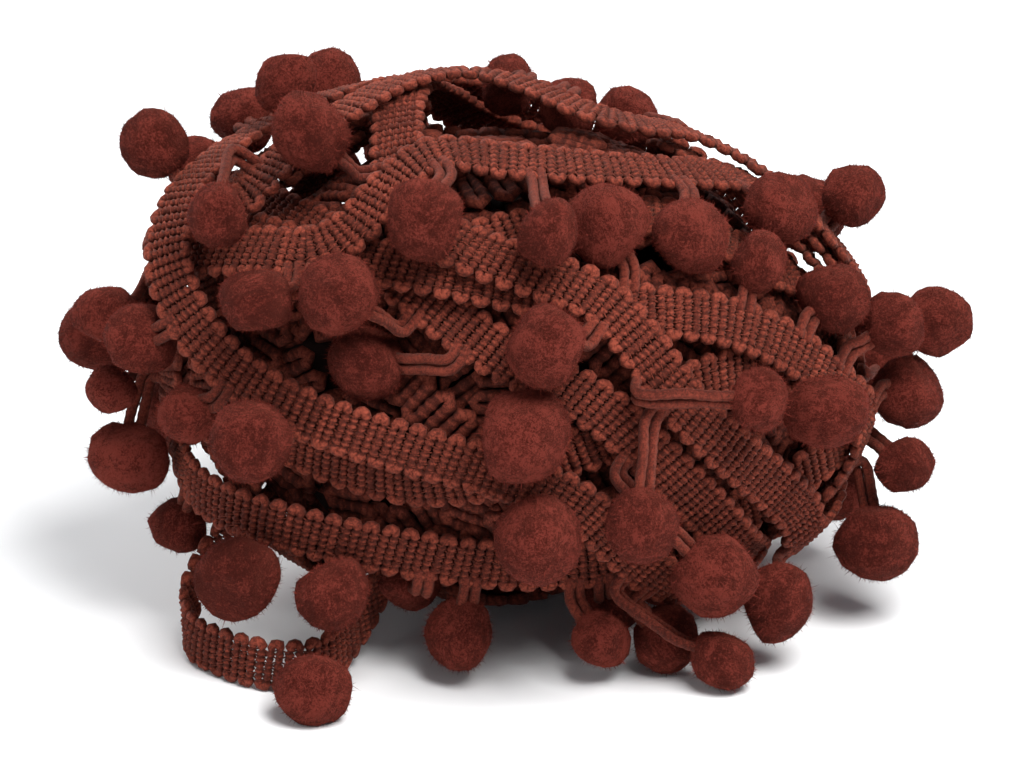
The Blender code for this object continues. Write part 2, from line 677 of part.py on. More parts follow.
def lay_all_turns():
    """All outer turns in order, with the balls that fill them."""
    laid = Laid()
    turns = {}
    for order, (name, turn) in enumerate(TURNS.items()):
        controls = [show_place(a, u, 1) for a, u in turn["show"]]
        controls += [show_place(a, u, -1) for a, u in turn["back"]]
        base = BRAID_THICK / 2 - LAP_SINK
        step = STATION_STEP if turn["edge"] else INNER_STEP
        lean = (turn.get("face", 0.0), turn.get("upright", 0.0))
        points = lay_turn(laid, smooth_closed(controls), step, base, *lean)
        _, normal, width = frame_of(points, *lean)
        turns[name] = {"order": order, "points": points, "normal": normal, "width": width,
                       "edge": turn["edge"], "closed": True}
        half = BRAID_WIDTH / 2
        laid.add(fill_ribbon(points, width, -half + 0.6, half - 0.6), BRAID_THICK / 2, order)
        if turn["edge"]:
            off = turn["edge"] * (half + PARTING + STRIP_WIDTH / 2)
            lane = fill_ribbon(points, width, off - 0.1, off + 0.1)
            laid.add(lane, STRIP_THICK / 2 + 0.35, order)
    turns["slack"] = lay_slack(laid, len(TURNS))
    return laid, turns


def edged(turn):
    """Middle line, width and normal of a turn's edge strip, and whether it closes."""
    off = turn["edge"] * (BRAID_WIDTH / 2 + PARTING + STRIP_WIDTH / 2)
    lane = turn["points"] + turn["width"] * off
    if turn["closed"]:
        return lane, turn["width"], turn["normal"], True
    part = slice(*SLACK_EDGED)
    return lane[part], turn["width"][part], turn["normal"][part], False


def strip_places(turns):
    """Places along every edge strip where a loop may leave it."""
    rows = []
    for name, turn in turns.items():
        if not turn["edge"]:
            continue
        lane, width, normal, closed = edged(turn)
        last = len(lane) if closed else len(lane) - 1
        for share in (0.0, 0.25, 0.5, 0.75):
            places = lane * (1 - share) + np.roll(lane, -1, 0) * share
            away = width * turn["edge"]
            away = unit(away * (1 - share) + np.roll(away, -1, 0) * share)
            out = unit(normal * (1 - share) + np.roll(normal, -1, 0) * share)
            rows += [(name, turn["order"], *row)
                     for row in list(zip(places, away, out))[:last]]
    return rows


def open_roots(laid, roots, wanted, centre):
    """Strip places near the wanted one that nothing lies over, best first."""
    places = np.array([row[2] for row in roots])
    away = np.array([row[3] for row in roots])
    toward = centre - places
    side = np.sum(toward * away, 1)
    cost = (np.linalg.norm(places - wanted, axis=1) + np.linalg.norm(toward, axis=1)
            + 1.5 * np.maximum(2.0 - side, 0.0))
    near = np.argsort(cost)[:ROOT_TRIES]
    open_ones = []
    for i in near:
        outer = places[i] + away[i] * 2.6
        need = laid.least(unit(outer)[None], LOOP_WIDTH / 2, HANG_GAP, skip=(roots[i][1],))[0]
        if need - np.linalg.norm(outer) < 0.5:
            open_ones.append(roots[i])
    return open_ones


def lay_loop(laid, root, width, normal, centre, radius, owner):
    """Stations of one doubled loop from the strip to its pompom, laid over what it crosses."""
    start = root - width * 0.45
    first = root + width * 2.2 + normal * 0.2
    toward = unit(first - centre)
    end = centre + toward * radius * 0.9
    stations = np.array([start, first, first + (end - first) * 0.5, end])
    before = stations.copy()
    shares = np.array([0.125, 0.25, 0.375, 0.5, 0.625, 0.75, 0.875, 1.0])
    for _ in range(8):
        stations[3] = centre + unit(stations[2] - centre) * radius * 0.9
        probe = stations[:-1, None] + (stations[1:] - stations[:-1])[:, None] * shares[:, None]
        flat = probe.reshape(-1, 3)
        need = laid.least(unit(flat), LOOP_WIDTH / 2, HANG_GAP)
        near = np.linalg.norm(flat - root, axis=1) < 4.6
        if near.any():
            need[near] = laid.least(unit(flat[near]), LOOP_WIDTH / 2, HANG_GAP, skip=(owner,))
        need[np.linalg.norm(flat - centre, axis=1) < radius] = 0.0
        need[:4] = 0.0
        lack = np.maximum(need - np.linalg.norm(flat, axis=1), 0.0).reshape(3, -1)
        rise = np.zeros(4)
        rise[1:3] = np.maximum(lack[:2].max(axis=1), lack[1:].max(axis=1))
        if rise.max() < 0.02:
            break
        stations = stations + unit(stations) * (0.85 * rise)[:, None]
        if np.linalg.norm(stations - before, axis=1).max() > MOST_LIFT:
            return None
    stations[1:, 2] = np.maximum(stations[1:, 2], 0.5 * LOOP_THICK + 0.2 - BALL_HEIGHT)
    if rise.max() > 0.3:
        return None
    for least in (SHORT_SPAN, 0.5 * SHORT_SPAN):
        if np.linalg.norm(stations[-1] - stations[-2]) < least:
            stations = np.delete(stations, -2, axis=0)
    ways = unit(np.diff(stations, axis=0))
    bends = np.sum(ways[1:] * ways[:-1], 1)
    return stations if len(bends) == 0 or bends.min() > SHARPEST else None


def loop_frame(stations, run):
    """Width and normal directions along an open loop, starting along the strip."""
    along = unit(np.gradient(stations, axis=0))
    width = [unit(run - (run @ along[0]) * along[0])]
    for way in along[1:]:
        width.append(unit(width[-1] - (width[-1] @ way) * way))
    width = np.array(width)
    return width, unit(np.cross(along, width))


def fill_line(stations, step=1.2):
    """Points along an open line of stations."""
    out = []
    for a, b in zip(stations[:-1], stations[1:]):
        count = max(1, int(np.linalg.norm(b - a) / step))
        for k in range(count):
            out.append(a + (b - a) * k / count)
    out.append(stations[-1])
    return np.array(out)


def show_options(cell, radius):
    """Wished place on the show side, and small shifts about it."""
    hang = show_place(cell["root_across"], cell["root_up"], 1)
    shifts = [(0.0, 0.0)] + [(r * np.cos(t), r * np.sin(t)) for r in (1.5, 3.0, 5.0, 7.0)
                             for t in np.arange(8) * np.pi / 4]
    goal = cell["across"] * RIGHT + cell["up"] * UP
    options = []
    for right, up in shifts:
        flat = (cell["across"] + right) * RIGHT + (cell["up"] + up) * UP
        a = np.sum((NEAR / BALL_HALF) ** 2)
        b = np.sum(flat * NEAR / BALL_HALF ** 2)
        c = np.sum((flat / BALL_HALF) ** 2) - 1.0
        if b * b < a * c:
            wish = hang @ NEAR
        else:
            wish = (-b + np.sqrt(b * b - a * c)) / a - 0.35 * radius
        if wish < floor_bounds(flat, NEAR, radius)[0]:
            wish = floor_bounds(flat, NEAR, radius)[0]
            hang = flat + wish * NEAR
        options.append((flat, NEAR, wish, 0.0, goal))
        place = flat + wish * NEAR
        options.append((np.zeros(3), unit(place), np.linalg.norm(place), 0.0, goal))
    return options, hang


def hidden_options(turn, i, radius):
    """Wished places about station i of a turn, on the side turned away."""
    lane = edged(turn)[0]
    along = np.cross(turn["normal"][i], turn["width"][i])
    options = []
    for out in (8.0, 10.0, 12.0, 6.5):
        for slide in (0.0, -4.0, 4.0, -8.0, 8.0):
            spot = lane[i] + turn["edge"] * turn["width"][i] * out + along * slide
            wish = half_radius(unit(spot), BALL_HALF) - 0.1 * radius
            penalty = 0.5 * abs(out - 9) + 0.2 * abs(slide)
            options.append((np.zeros(3), unit(spot), wish, penalty, unit(spot) * wish))
    return options, lane[i]


def hidden_pompoms(turns):
    """Stations of the side turned away that carry a pompom, by rule."""
    rows = []
    for name, turn in turns.items():
        if not turn["edge"] or not turn["closed"]:
            continue
        lane = edged(turn)[0]
        run = HIDDEN_PITCH / 2
        for i in range(len(lane)):
            run += np.linalg.norm(lane[(i + 1) % len(lane)] - lane[i])
            way = unit(lane[i])
            if way @ NEAR < 0.08 and run > HIDDEN_PITCH and way[2] > -0.66:
                run = 0.0
                rows.append((name, i))
    return rows


def lay_pompoms(laid, turns, rng):
    """Loops and pompoms: rows of (turn, loop stations, strip direction, middle, radius)."""
    wants = []
    for row in sorted(POMPOMS, key=lambda row: -row[2]):
        cell = dict(zip(POMPOM_COLUMNS, row))
        radius = cell["diameter"] / 2
        wants.append((radius, *show_options(cell, radius), SHOW_REACH))
    for name, i in hidden_pompoms(turns):
        radius = HIDDEN_DIAMETER / 2 * rng.uniform(0.86, 1.08)
        wants.append((radius, *hidden_options(turns[name], i, radius), HIDDEN_REACH))
    roots = strip_places(turns)
    hung = []
    for number, (radius, options, wanted, longest) in enumerate(wants):
        grown = radius * (1.01 + POMPOM_UNEVEN)
        placed = settle(laid, options, grown)
        if placed is None:
            continue
        centre = placed[1]
        stations = None
        for name, order, root, away, out in open_roots(laid, roots, wanted, centre):
            if np.linalg.norm(centre - root) - radius < longest:
                stations = lay_loop(laid, root, away, out, centre, radius, order)
            if stations is not None:
                break
        if stations is None:
            continue
        hung.append((name, stations, np.cross(out, away), centre, radius))
        laid.add(centre[None], grown, POMPOM_OWNER + number)
        laid.add(fill_line(stations), LOOP_WIDTH / 2 + 0.1, POMPOM_OWNER + number)
    return hung


def build():
    """Build the wound braid and every fringe turn."""
    clear_scene()
    braid = yarn_material("braid_yarn", (0.19, 0.045, 0.026), 0.85)
    pile = yarn_material("pompom_pile", (0.155, 0.023, 0.015), 0.95)
    rng = np.random.default_rng(SEED)
    laid, turns = lay_all_turns()
    hung = lay_pompoms(laid, turns, rng)
    fringe = {name: [] for name, turn in turns.items() if turn["edge"]}
    for name, stations, run, centre, radius in hung:
        side, face = loop_frame(stations, run)
        fringe[name].append(hung_pompom_mesh(stations + CENTRE, side, face, centre + CENTRE,
                                             radius, rng))

    strips = Laid()
    for name in fringe:
        lane, width, _, closed = edged(turns[name])
        strips.add(fill_ribbon(lane, width, -0.5, 0.5, closed), 0.75, turns[name]["order"])
    keep = laid.owners >= POMPOM_OWNER
    strips.places = np.vstack([strips.places, laid.places[keep]])
    strips.radii = np.concatenate([strips.radii, laid.radii[keep]])

    directions, faces = core_grid()
    radii = half_radius(directions, CORE_HALF)
    foot = np.maximum(-directions[:, 2], 1e-3)
    spot = (directions[:, 0] / foot * BALL_HEIGHT / REST_HALF[0]) ** 2
    spot += (directions[:, 1] / foot * BALL_HEIGHT / REST_HALF[1]) ** 2
    resting = (directions[:, 2] < 0) & (spot <= 1.0)
    radii = press_core(directions, faces, radii, strips, PARTING)
    radii = np.where(resting, BALL_HEIGHT / foot, radii)
    low = directions[:, 2] < 0
    radii = np.where(low, np.minimum(radii, BALL_HEIGHT / foot), radii)
    core = make_object("wound_braid", [(directions * radii[:, None] + CENTRE, faces)], braid)

    ribbons = []
    for name, turn in turns.items():
        body = ring_mesh(turn["points"] + CENTRE, turn["width"], turn["normal"], 0.0,
                         BRAID_WIDTH / 2, BRAID_THICK / 2, turn["closed"])
        ribbons.append(make_object("ribbon_" + name, [body]))
    fuse(core, ribbons, "UNION")
    cutters = []
    for name in fringe:
        lane, width, normal, closed = edged(turns[name])
        room = ring_mesh(lane + CENTRE, width, normal, 0.0, STRIP_WIDTH / 2 + CLEARANCE,
                         STRIP_THICK / 2 + CLEARANCE, closed)
        cutters.append(make_object("room_" + name, [room]))
    for number, (name, stations, run, centre, radius) in enumerate(hung):
        side, face = loop_frame(stations, run)
        path = stations + CENTRE
        path[0] += unit(stations[0] - stations[1]) * CLEARANCE
        room = ring_mesh(path, side, face, 0.0, LOOP_WIDTH / 2 + CLEARANCE,
                         LOOP_THICK / 2 + CLEARANCE, closed=False)
        cutters.append(make_object(f"room_{number}", [room]))
    fuse(core, cutters, "DIFFERENCE")
    tidy_solid(core)
    core.data.materials.clear()
    core.data.materials.append(braid)

    for name, parts in fringe.items():
        lane, width, normal, closed = edged(turns[name])
        strip = ring_mesh(lane + CENTRE, width, normal, 0.0, STRIP_WIDTH / 2, STRIP_THICK / 2,
                          closed)
        node = make_object(f"fringe_{name}", [strip], pile)
        pieces = [make_object(f"piece_{name}_{k}", [part]) for k, part in enumerate(parts)]
        if pieces:
            fuse(node, pieces, "UNION")
        tidy_solid(node)


build()
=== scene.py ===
"""Looks of the pompom fringe trim wound into a loose ball.

The trim's heading is a woven braid: thick weft cords laid to and fro across it, turning back at
each edge, and thin warp threads that pinch them into rows of beads.  From one edge hang felted
pompoms on doubled cords.  The turns of the ball are worked out here in the same way, and to the
same sizes, as the part's own solids, and each is then woven, corded and felted in full detail.

Lengths in the tables are millimetres.  A place is given "across" and "up" in the show plane,
which passes through the ball's middle and is tipped back by SHOW_TILT from upright.
"""

from functools import lru_cache

import bmesh
import bpy
import numpy as np
from bpy.props import FloatProperty, FloatVectorProperty, PointerProperty
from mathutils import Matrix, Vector


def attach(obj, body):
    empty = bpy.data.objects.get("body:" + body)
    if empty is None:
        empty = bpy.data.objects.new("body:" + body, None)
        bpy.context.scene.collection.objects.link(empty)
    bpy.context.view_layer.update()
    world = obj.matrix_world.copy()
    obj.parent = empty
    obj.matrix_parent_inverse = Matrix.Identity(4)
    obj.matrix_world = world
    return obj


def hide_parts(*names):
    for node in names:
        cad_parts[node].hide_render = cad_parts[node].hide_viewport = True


bl_info = {
    "name": "Pompom fringe trim",
    "version": (1, 0, 0),
    "blender": (4, 5, 0),
    "location": "3D View > Sidebar > Trim",
    "description": "Weaves a ball of heading braid and hangs its felted pompoms",
    "category": "Add Mesh",
}

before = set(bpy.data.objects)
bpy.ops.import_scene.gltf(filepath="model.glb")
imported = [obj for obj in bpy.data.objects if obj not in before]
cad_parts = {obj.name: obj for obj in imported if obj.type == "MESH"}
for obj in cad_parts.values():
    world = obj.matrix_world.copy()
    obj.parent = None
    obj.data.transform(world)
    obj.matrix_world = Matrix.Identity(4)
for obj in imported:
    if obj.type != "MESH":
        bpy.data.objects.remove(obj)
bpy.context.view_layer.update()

MM = 0.001

# ---- the wound ball ---------------------------------------------------------------------------
SHOW_TILT = np.radians(22.0)
BALL_HALF = np.array([65.0, 47.0, 46.5])      # half sizes over the outer turns
CORE_HALF = np.array([54.5, 40.0, 39.0])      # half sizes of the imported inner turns
BALL_HEIGHT = 46.0                            # height of the middle over the rest
BRAID_WIDTH = 8.7                             # cloth width without the edge strip
BRAID_THICK = 2.4
STATION_STEP = 11.2                           # spacing of the stations along a turn
INNER_STEP = 14.0                             # the same for the buried turns
LAP_SINK = 0.25                               # how far a turn settles into the one below
PARTING = 0.5                                 # clear space between a braid and its strip
HANG_GAP = 0.8                                # least space about loops and pompoms
STRIP_WIDTH = 1.2
STRIP_THICK = 0.8
STRIP_OFF = BRAID_WIDTH / 2 + PARTING + STRIP_WIDTH / 2   # the strip from the middle line
FULL_WIDTH = BRAID_WIDTH + PARTING + STRIP_WIDTH
RIM_SHARE = 0.995                             # how near the rim a place of the show side lies
PROBE_SHARES = (0.0, 0.25, 0.5, 0.75)         # where a turn is tested between two stations
PROBE_LANES = 5                               # and at how many places across
PROBE_OVER = 2.5                              # how much wider than the cloth it is tested
RISE_SHARE = 0.85                             # share of what is lacking that one round gives
CLEAR_ENOUGH = 0.02                           # what may still be lacking
RIBBON_INSET = 0.6                            # the outermost filling balls from the cloth's edge
STRIP_FILL = 0.1                              # half the width that fills an edge strip
STRIP_BALL = STRIP_THICK / 2 + 0.35
LOOP_WIDTH = 3.8
LOOP_THICK = 1.8
LOOP_ROOT_IN = 0.45                           # how far a loop starts inside its strip
LOOP_ROOT_OUT = 2.2                           # its first station out from the strip
LOOP_ROOT_UP = 0.2
LOOP_OWN_REACH = 4.6                          # how near its root it may touch its own braid
LOOP_SHARES = np.arange(1, 9) / 8             # where a loop is tested between two stations
LOOP_DEEP = 0.9                               # a loop's end from the pompom's middle, in radii
LOOP_ROUNDS = 8                               # rounds in which a loop is lifted clear
LOOP_STUCK = 0.3                              # what may be lacking after them
POMPOM_UNEVEN = 0.05
FLOOR_SQUASH = 0.9                            # height of a pompom's middle on the floor, in radii
MOST_SUNK = 9.0                               # how far a pompom may sink from its wished place
MOST_PROUD = 20.0                             # and how far it may be pushed out
ASTRAY = 2.2                                  # cost of each mm astray in the show plane
MOST_LIFT = 6.0                               # how far a loop may be lifted over what it crosses
SHORT_SPAN = 2.2                              # loop spans shorter than this are left out
SHARPEST = -0.35                              # cosine of a loop's sharpest bend
ROOT_TRIES = 60                               # strip places looked at for each loop
ROOT_ASIDE = 1.5                              # cost of each mm that a loop must turn back
ROOT_AHEAD = 2.0                              # how far ahead of its edge a pompom hangs freely
ROOT_OUTER = 2.6                              # place out from the strip that has to lie open
ROOT_COVER = 0.5                              # how far what lies over it may reach past it
SHOW_SHIFTS = (1.5, 3.0, 5.0, 7.0)            # rings of places about a wished one
HIDDEN_OUTS = (8.0, 10.0, 12.0, 6.5)          # places out from the strip, best first
HIDDEN_SLIDES = (0.0, -4.0, 4.0, -8.0, 8.0)   # and along it
HIDDEN_FROM = 0.08                            # cosine to the viewer where the hidden side starts
HIDDEN_LOWEST = -0.66                         # how low on the ball a hidden pompom may hang
HIDDEN_SIZES = (0.86, 1.08)                   # least and greatest size of a hidden pompom
HIDDEN_PITCH = 38.0                           # pompom spacing along the turned-away side
SHOW_REACH = 27.0                             # longest clear loop on the show side
HIDDEN_REACH = 11.5                           # and on the side turned away
HIDDEN_DIAMETER = 13.4
SEED = 61
POMPOM_OWNER = 100                            # owner numbers of pompoms start here

# ---- the woven braid --------------------------------------------------------------------------
RIB_PITCH = 1.75                              # spacing of the weft cords along the braid
BEADS = 7                                     # beads of one weft cord across the braid
WEFT_HALF = (0.97, 0.92)                      # half sizes of a weft cord, along and through
PINCH = 0.56                                  # what a warp thread leaves of the weft cord's size
WEFT_SIDES = 6
WEFT_TURN = (0.18, 0.5, 0.82)                 # stations of its turn at the edge, of half a circle
TURN_PLUMP = 0.9                              # the cord's size there
RIB_LEAN = (0.10, 0.05)                       # slow and slower waves of the ribs' lean
RIB_JOG = 0.04                                # unevenness of the ribs' spacing
BEAD_UNEVEN = 0.07                            # unevenness of the beads' size
BEAD_RANGE = (0.84, 1.14)                     # least and greatest size of a bead
BEAD_LAY = 0.05                               # unevenness of the beads' height
RIB_FAN = (0.8, 1.8)                          # least and most swelling of a rib on a bend
EDGE_CURL = 0.25                              # how far the braid's edges curl in
EDGE_TURN = 0.35                              # how far a weft cord's turn stands past the edge
WARP_RADIUS = 0.20
WARP_SIDES = 3
WARP_RISE = 0.62                              # a warp thread over or under a weft cord
WARP_SWAY = 0.06
COARSE_PITCH = 2.5                            # spacing of the weft cords of the buried turns
COARSE_BEADS = 4
COARSE_SWELL = 1.40                           # their thickness against the outer weft cords
COARSE_PINCH = 0.86
COARSE_SIDES = 5
INNER_TURNS = 20                              # buried turns that show between the outer ones
INNER_STATIONS = 36                           # stations of each
INNER_LAYERS = 3
INNER_WAVE = 0.22                             # how far a buried turn strays from a flat ring
INNER_LANES = (-0.1, 0.0, 0.1)                # where it is tested across, in its own radii
GOLDEN_ANGLE = 2.39996                        # between the headings of two that follow
INNER_STEP_DOWN = 1.7                         # how far each layer of inner turns lies below
CORE_DROP = 6.5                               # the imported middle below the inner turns
CORE_GRID = (120, 60)                         # its stations round and up
CORE_LEAST = 14.0                             # its least half size
REACH_LEAST = 16.0                            # least half size of what the buried turns fill
INNER_SINK = 3.5                              # inner turns below the ball's outer surface
UNDER_GAP = 1.4                               # inner turns below the outer turns over them

# ---- the pompoms ------------------------------------------------------------------------------
HAIRS = 2400                                  # stray hairs on one pompom of 14 mm
HAIR_HALF = 0.058
HAIR_ROOT = 0.1                               # how deep a hair is rooted
HAIR_LEAN = 1.1                               # how much the hairs lie over
HAIR_SPREAD = (3.0, 0.19)                     # shape and scale of the hairs' lengths
BALL_CUTS = 3
BALL_SWELL = (-0.14, 0.12)                    # least and most stretch of a pompom's three sizes
BALL_LUMPS = ((0.075, 2.2, 4), (0.030, 5.5, 6), (0.016, 13.0, 8))   # depth, fineness, count
FELT_ROUGH = 0.016
FLATS = (3, 7)                                # pressed flats on one pompom
FLAT_DEPTH = (0.70, 0.90)                     # how far in they lie, in radii
FLAT_SHARE = 0.7                              # how hard they are pressed
DENT_DEPTH = 0.07                             # one small dent, in radii
DENT_SIZE = 0.05
CORD_SIDES = 8
CORD_HALF = (0.95, 0.92)                      # half sizes of a loop's cord, across and through
CORD_APART = 1.02                             # each cord from the loop's middle line
CORD_CLOSE = 0.32                             # how much closer they come at the pompom
CORD_STEP = 0.62                              # spacing of the stations along a loop cord
CORD_ROOT = 1.6                               # how far the cords run on into the braid
CORD_END = 0.35                               # and where they end in the pompom, in radii
CORD_CLOSE_SPAN = (0.72, 0.28)                # where they close in, and over what share
CORD_WANDER = 0.12                            # how far a cord strays to each side and up
CORD_PLUMP = (1.03, 0.065)                    # its size, and how much that swells and thins
CORD_PLUMP_PITCH = 1.9

# ---- the finishes -----------------------------------------------------------------------------
YARN_LOOK = {"sheen_rough": 0.4, "specular": 0.16, "haze": (1.0, 0.48, 0.36)}
FELT_LOOK = {"sheen_rough": 0.5, "specular": 0.06, "haze": (1.0, 0.26, 0.17)}
# What swings the colour between its dark and its light tone: the mean of each value and its
# share.
# Groove and side paint shade into the pinches between beads and onto the cords' flanks.
STRAND_MEAN = 0.6
YARN_SWINGS = {"fleck": (0.5, 2.2), "tint": (0.5, 0.3), "patch": (0.5, 0.6),
               "groove": (0.2, -0.42), "side": (0.1, -0.3)}
FELT_SWINGS = {"streak": (0.5, 1.5), "fuzz": (0.5, 2.6), "cloud": (0.5, 2.2), "tint": (0.5, 0.5)}
YARN_SPREAD, FELT_SPREAD = 2.1, 2.0           # light and dark tones against the dye
LIGHT_WARMTH = (1.0, 1.12, 1.15)              # how much warmer the light tone is
TONE_STOPS = (0.18, 0.5, 0.86)                # masks at which the three tones stand
YARN_FIBRE, YARN_PATCH = 800.0, 70.0          # fineness of fibres and of faded patches
FELT_STREAK, FELT_FUZZ, FELT_CLOUD = 0.42, 0.85, 0.09
FELT_GRAIN = (0.3, 1.0, 1.0)                  # how the felt's streaks are drawn out
YARN_DEEP, FELT_DEEP = 0.0003, 0.0007         # relief, in metres
FELT_RELIEF = 0.7
FELT_ROUGHNESS = 0.95

# ---- the stage --------------------------------------------------------------------------------
FLOOR_REACH = 6.0                             # half the floor's size, in metres
FLOOR_PAINT = (0.93, 0.93, 0.93, 1.0)
FLOOR_ROUGHNESS = 0.9
SKY_COLOUR = (0.86, 0.92, 1.0, 1.0)
FRAME_PIXELS = 1024                           # width of the picture
PIXEL = 0.18                                  # what one pixel shows in the show plane
FRAME_SHIFT = (-3, -22)                       # shift of the picture, in pixels
SENSOR = 36.0
LIGHTS = (                                    # name, place and size in metres, share of light
    ("key_light", (0.45, -0.62, 1.30), 0.9, 1.0),
    ("fill_light", (-1.1, -0.9, 0.8), 0.8, 0.1),
    ("rear_light", (-0.5, 1.1, 1.0), 0.9, 0.45))

CENTRE = np.array([0.0, 0.0, BALL_HEIGHT])
RIGHT = np.array([1.0, 0.0, 0.0])
UP = np.array([0.0, np.sin(SHOW_TILT), np.cos(SHOW_TILT)])
NEAR = np.array([0.0, -np.cos(SHOW_TILT), np.sin(SHOW_TILT)])

# Outer turns, lowest first.  "edge" is the fringed edge (+1 or -1, 0 when it is buried);
# "show" and "back" are (across, up) places on the near and far side of the ball.  "face" turns
# the near part of a turn towards the show side and "upright" stands it up like a hoop.
TURNS = {
    "inner_top": {"edge": 0, "show": [
        (-38.7, 18.0), (-24.3, 20.2), (-6.3, 25.2), (8.1, 28.6), (24.3, 30.6), (40.5, 28.3),
        (54.0, 19.3)], "back": [(33.3, 5.8), (-2.7, -10.4), (-33.3, -6.8)]},
    "inner_low": {"edge": -1, "show": [
        (-61.2, 2.2), (-54.0, -11.3), (-38.7, -19.1), (-20.7, -23.4), (-6.0, -22.0),
        (8.0, -18.0), (20.0, -13.5), (32.0, -6.0), (45.0, -1.5), (57.0, 0.5), (64.0, 6.0)],
        "back": [(44.1, 22.0), (15.3, 32.8), (-20.7, 34.6), (-47.7, 22.0)]},
    "left_outer": {"edge": 0, "show": [
        (-33.3, 45.0), (-45.5, 36.7), (-54.5, 28.3), (-61.0, 18.0), (-63.5, 5.8),
        (-61.0, -10.4), (-54.0, -24.8)],
        "back": [(-38.7, -35.6), (-40.5, -14.0), (-42.3, 11.2), (-40.5, 32.8)]},
    "left_inner": {"edge": 0, "show": [
        (-20.7, 47.2), (-35.1, 42.1), (-46.3, 31.9), (-54.2, 21.1), (-57.4, 7.6),
        (-55.8, -10.4), (-47.7, -28.4)],
        "back": [(-29.7, -35.6), (-26.1, -10.4), (-26.1, 14.8), (-23.4, 36.4)]},
    "right_outer": {"edge": 0, "show": [
        (33.3, 43.6), (45.9, 35.5), (56.0, 25.2), (62.1, 13.0), (64.3, -1.4), (62.1, -15.8),
        (54.9, -30.2)], "back": [(40.5, -35.6), (33.3, -12.2), (31.5, 11.2), (29.7, 31.0)]},
    "low_loop": {"edge": -1, "face": 0.25, "upright": 0.75, "show": [
        (-63.0, 1.5), (-63.8, -7.5), (-60.7, -16.2), (-52.7, -22.7),
        (-38.7, -28.4), (-20.7, -33.5), (-2.7, -37.4), (15.3, -38.3), (33.3, -34.2),
        (51.3, -24.8), (63.5, -10.4)],
        "back": [(56.7, 11.2), (33.3, 18.4), (0.9, 18.4), (-29.7, 15.0), (-51.0, 10.0)]},
    "middle": {"edge": -1, "show": [
        (-46.3, 31.0), (-36.9, 25.2), (-27.9, 19.3), (-19.8, 15.7), (-14.4, 11.2), (-7.2, 5.4),
        (1.8, 0.0), (15.3, -7.2), (24.3, -14.9), (34.2, -24.8), (44.1, -34.2)],
        "back": [(51.3, -14.0), (33.3, 14.8), (4.5, 34.6), (-24.3, 40.0)]},
    "right_sweep": {"edge": 1, "show": [
        (-52.2, 22.0), (-35.1, 18.0), (-17.1, 15.7), (-2.7, 13.0), (11.7, 10.8), (22.5, 9.0),
        (33.3, 8.3), (44.1, 6.1), (53.1, 1.8), (60.3, -5.9), (64.3, -14.9)],
        "back": [(51.3, -28.4), (15.3, -24.8), (-20.7, -6.8), (-47.7, 11.2)]},
    "crossing": {"edge": -1, "show": [
        (-19.0, 38.0), (-18.5, 29.0), (-12.5, 21.5), (2.7, 15.8), (13.9, 11.9), (22.5, 3.6),
        (30.4, -6.8), (40.5, -16.2), (51.3, -26.6), (60.7, -36.0)],
        "back": [(53.0, -6.0), (36.0, 18.0), (14.0, 33.0), (-7.0, 41.0)]},
    "second": {"edge": -1, "show": [
        (-33.3, 18.4), (-23.4, 25.9), (-15.3, 33.5), (0.9, 34.9), (17.1, 36.0), (33.3, 35.8),
        (45.9, 33.1), (57.8, 24.7)],
        "back": [(60.3, 5.8), (36.9, -12.2), (4.5, -17.6), (-20.7, -6.8)]},
    "top": {"edge": 1, "show": [
        (-45.5, 22.0), (-35.5, 32.8), (-26.1, 38.9), (-17.1, 43.9), (-4.5, 46.1), (15.3, 42.8),
        (33.3, 40.3), (49.5, 34.9), (60.3, 23.4)],
        "back": [(60.3, 11.2), (33.3, 5.8), (-2.7, 5.8), (-33.3, 7.6)]},
    "left_sweep": {"edge": -1, "face": 0.45, "show": [
        (-30.6, 41.4), (-38.7, 37.8), (-45.5, 31.0), (-49.5, 22.0), (-50.9, 11.2), (-47.7, 0.4),
        (-38.7, -7.7), (-26.1, -13.1), (-13.5, -16.7), (-1.8, -19.6), (8.5, -23.5),
        (18.0, -30.0), (27.0, -37.5)],
        "back": [(42.0, -22.0), (46.0, 4.0), (33.3, 29.0), (0.9, 40.5)]},
}

# The slack length that slips out of the ball and stands on its edge on the floor: x, y and
# height of its middle line.  The first and last places lie inside the ball.
SLACK = [(-36.0, -10.0, 26.0), (-50.0, -15.5, 20.0), (-58.0, -20.0, 11.0), (-58.5, -29.0, 6.2),
         (-52.0, -38.0, 6.0), (-43.0, -43.5, 6.0), (-34.0, -41.0, 6.0), (-28.0, -31.0, 8.5),
         (-22.0, -19.0, 16.0)]
SLACK_EDGED = (2, 8)                          # stations between which its edge strip shows

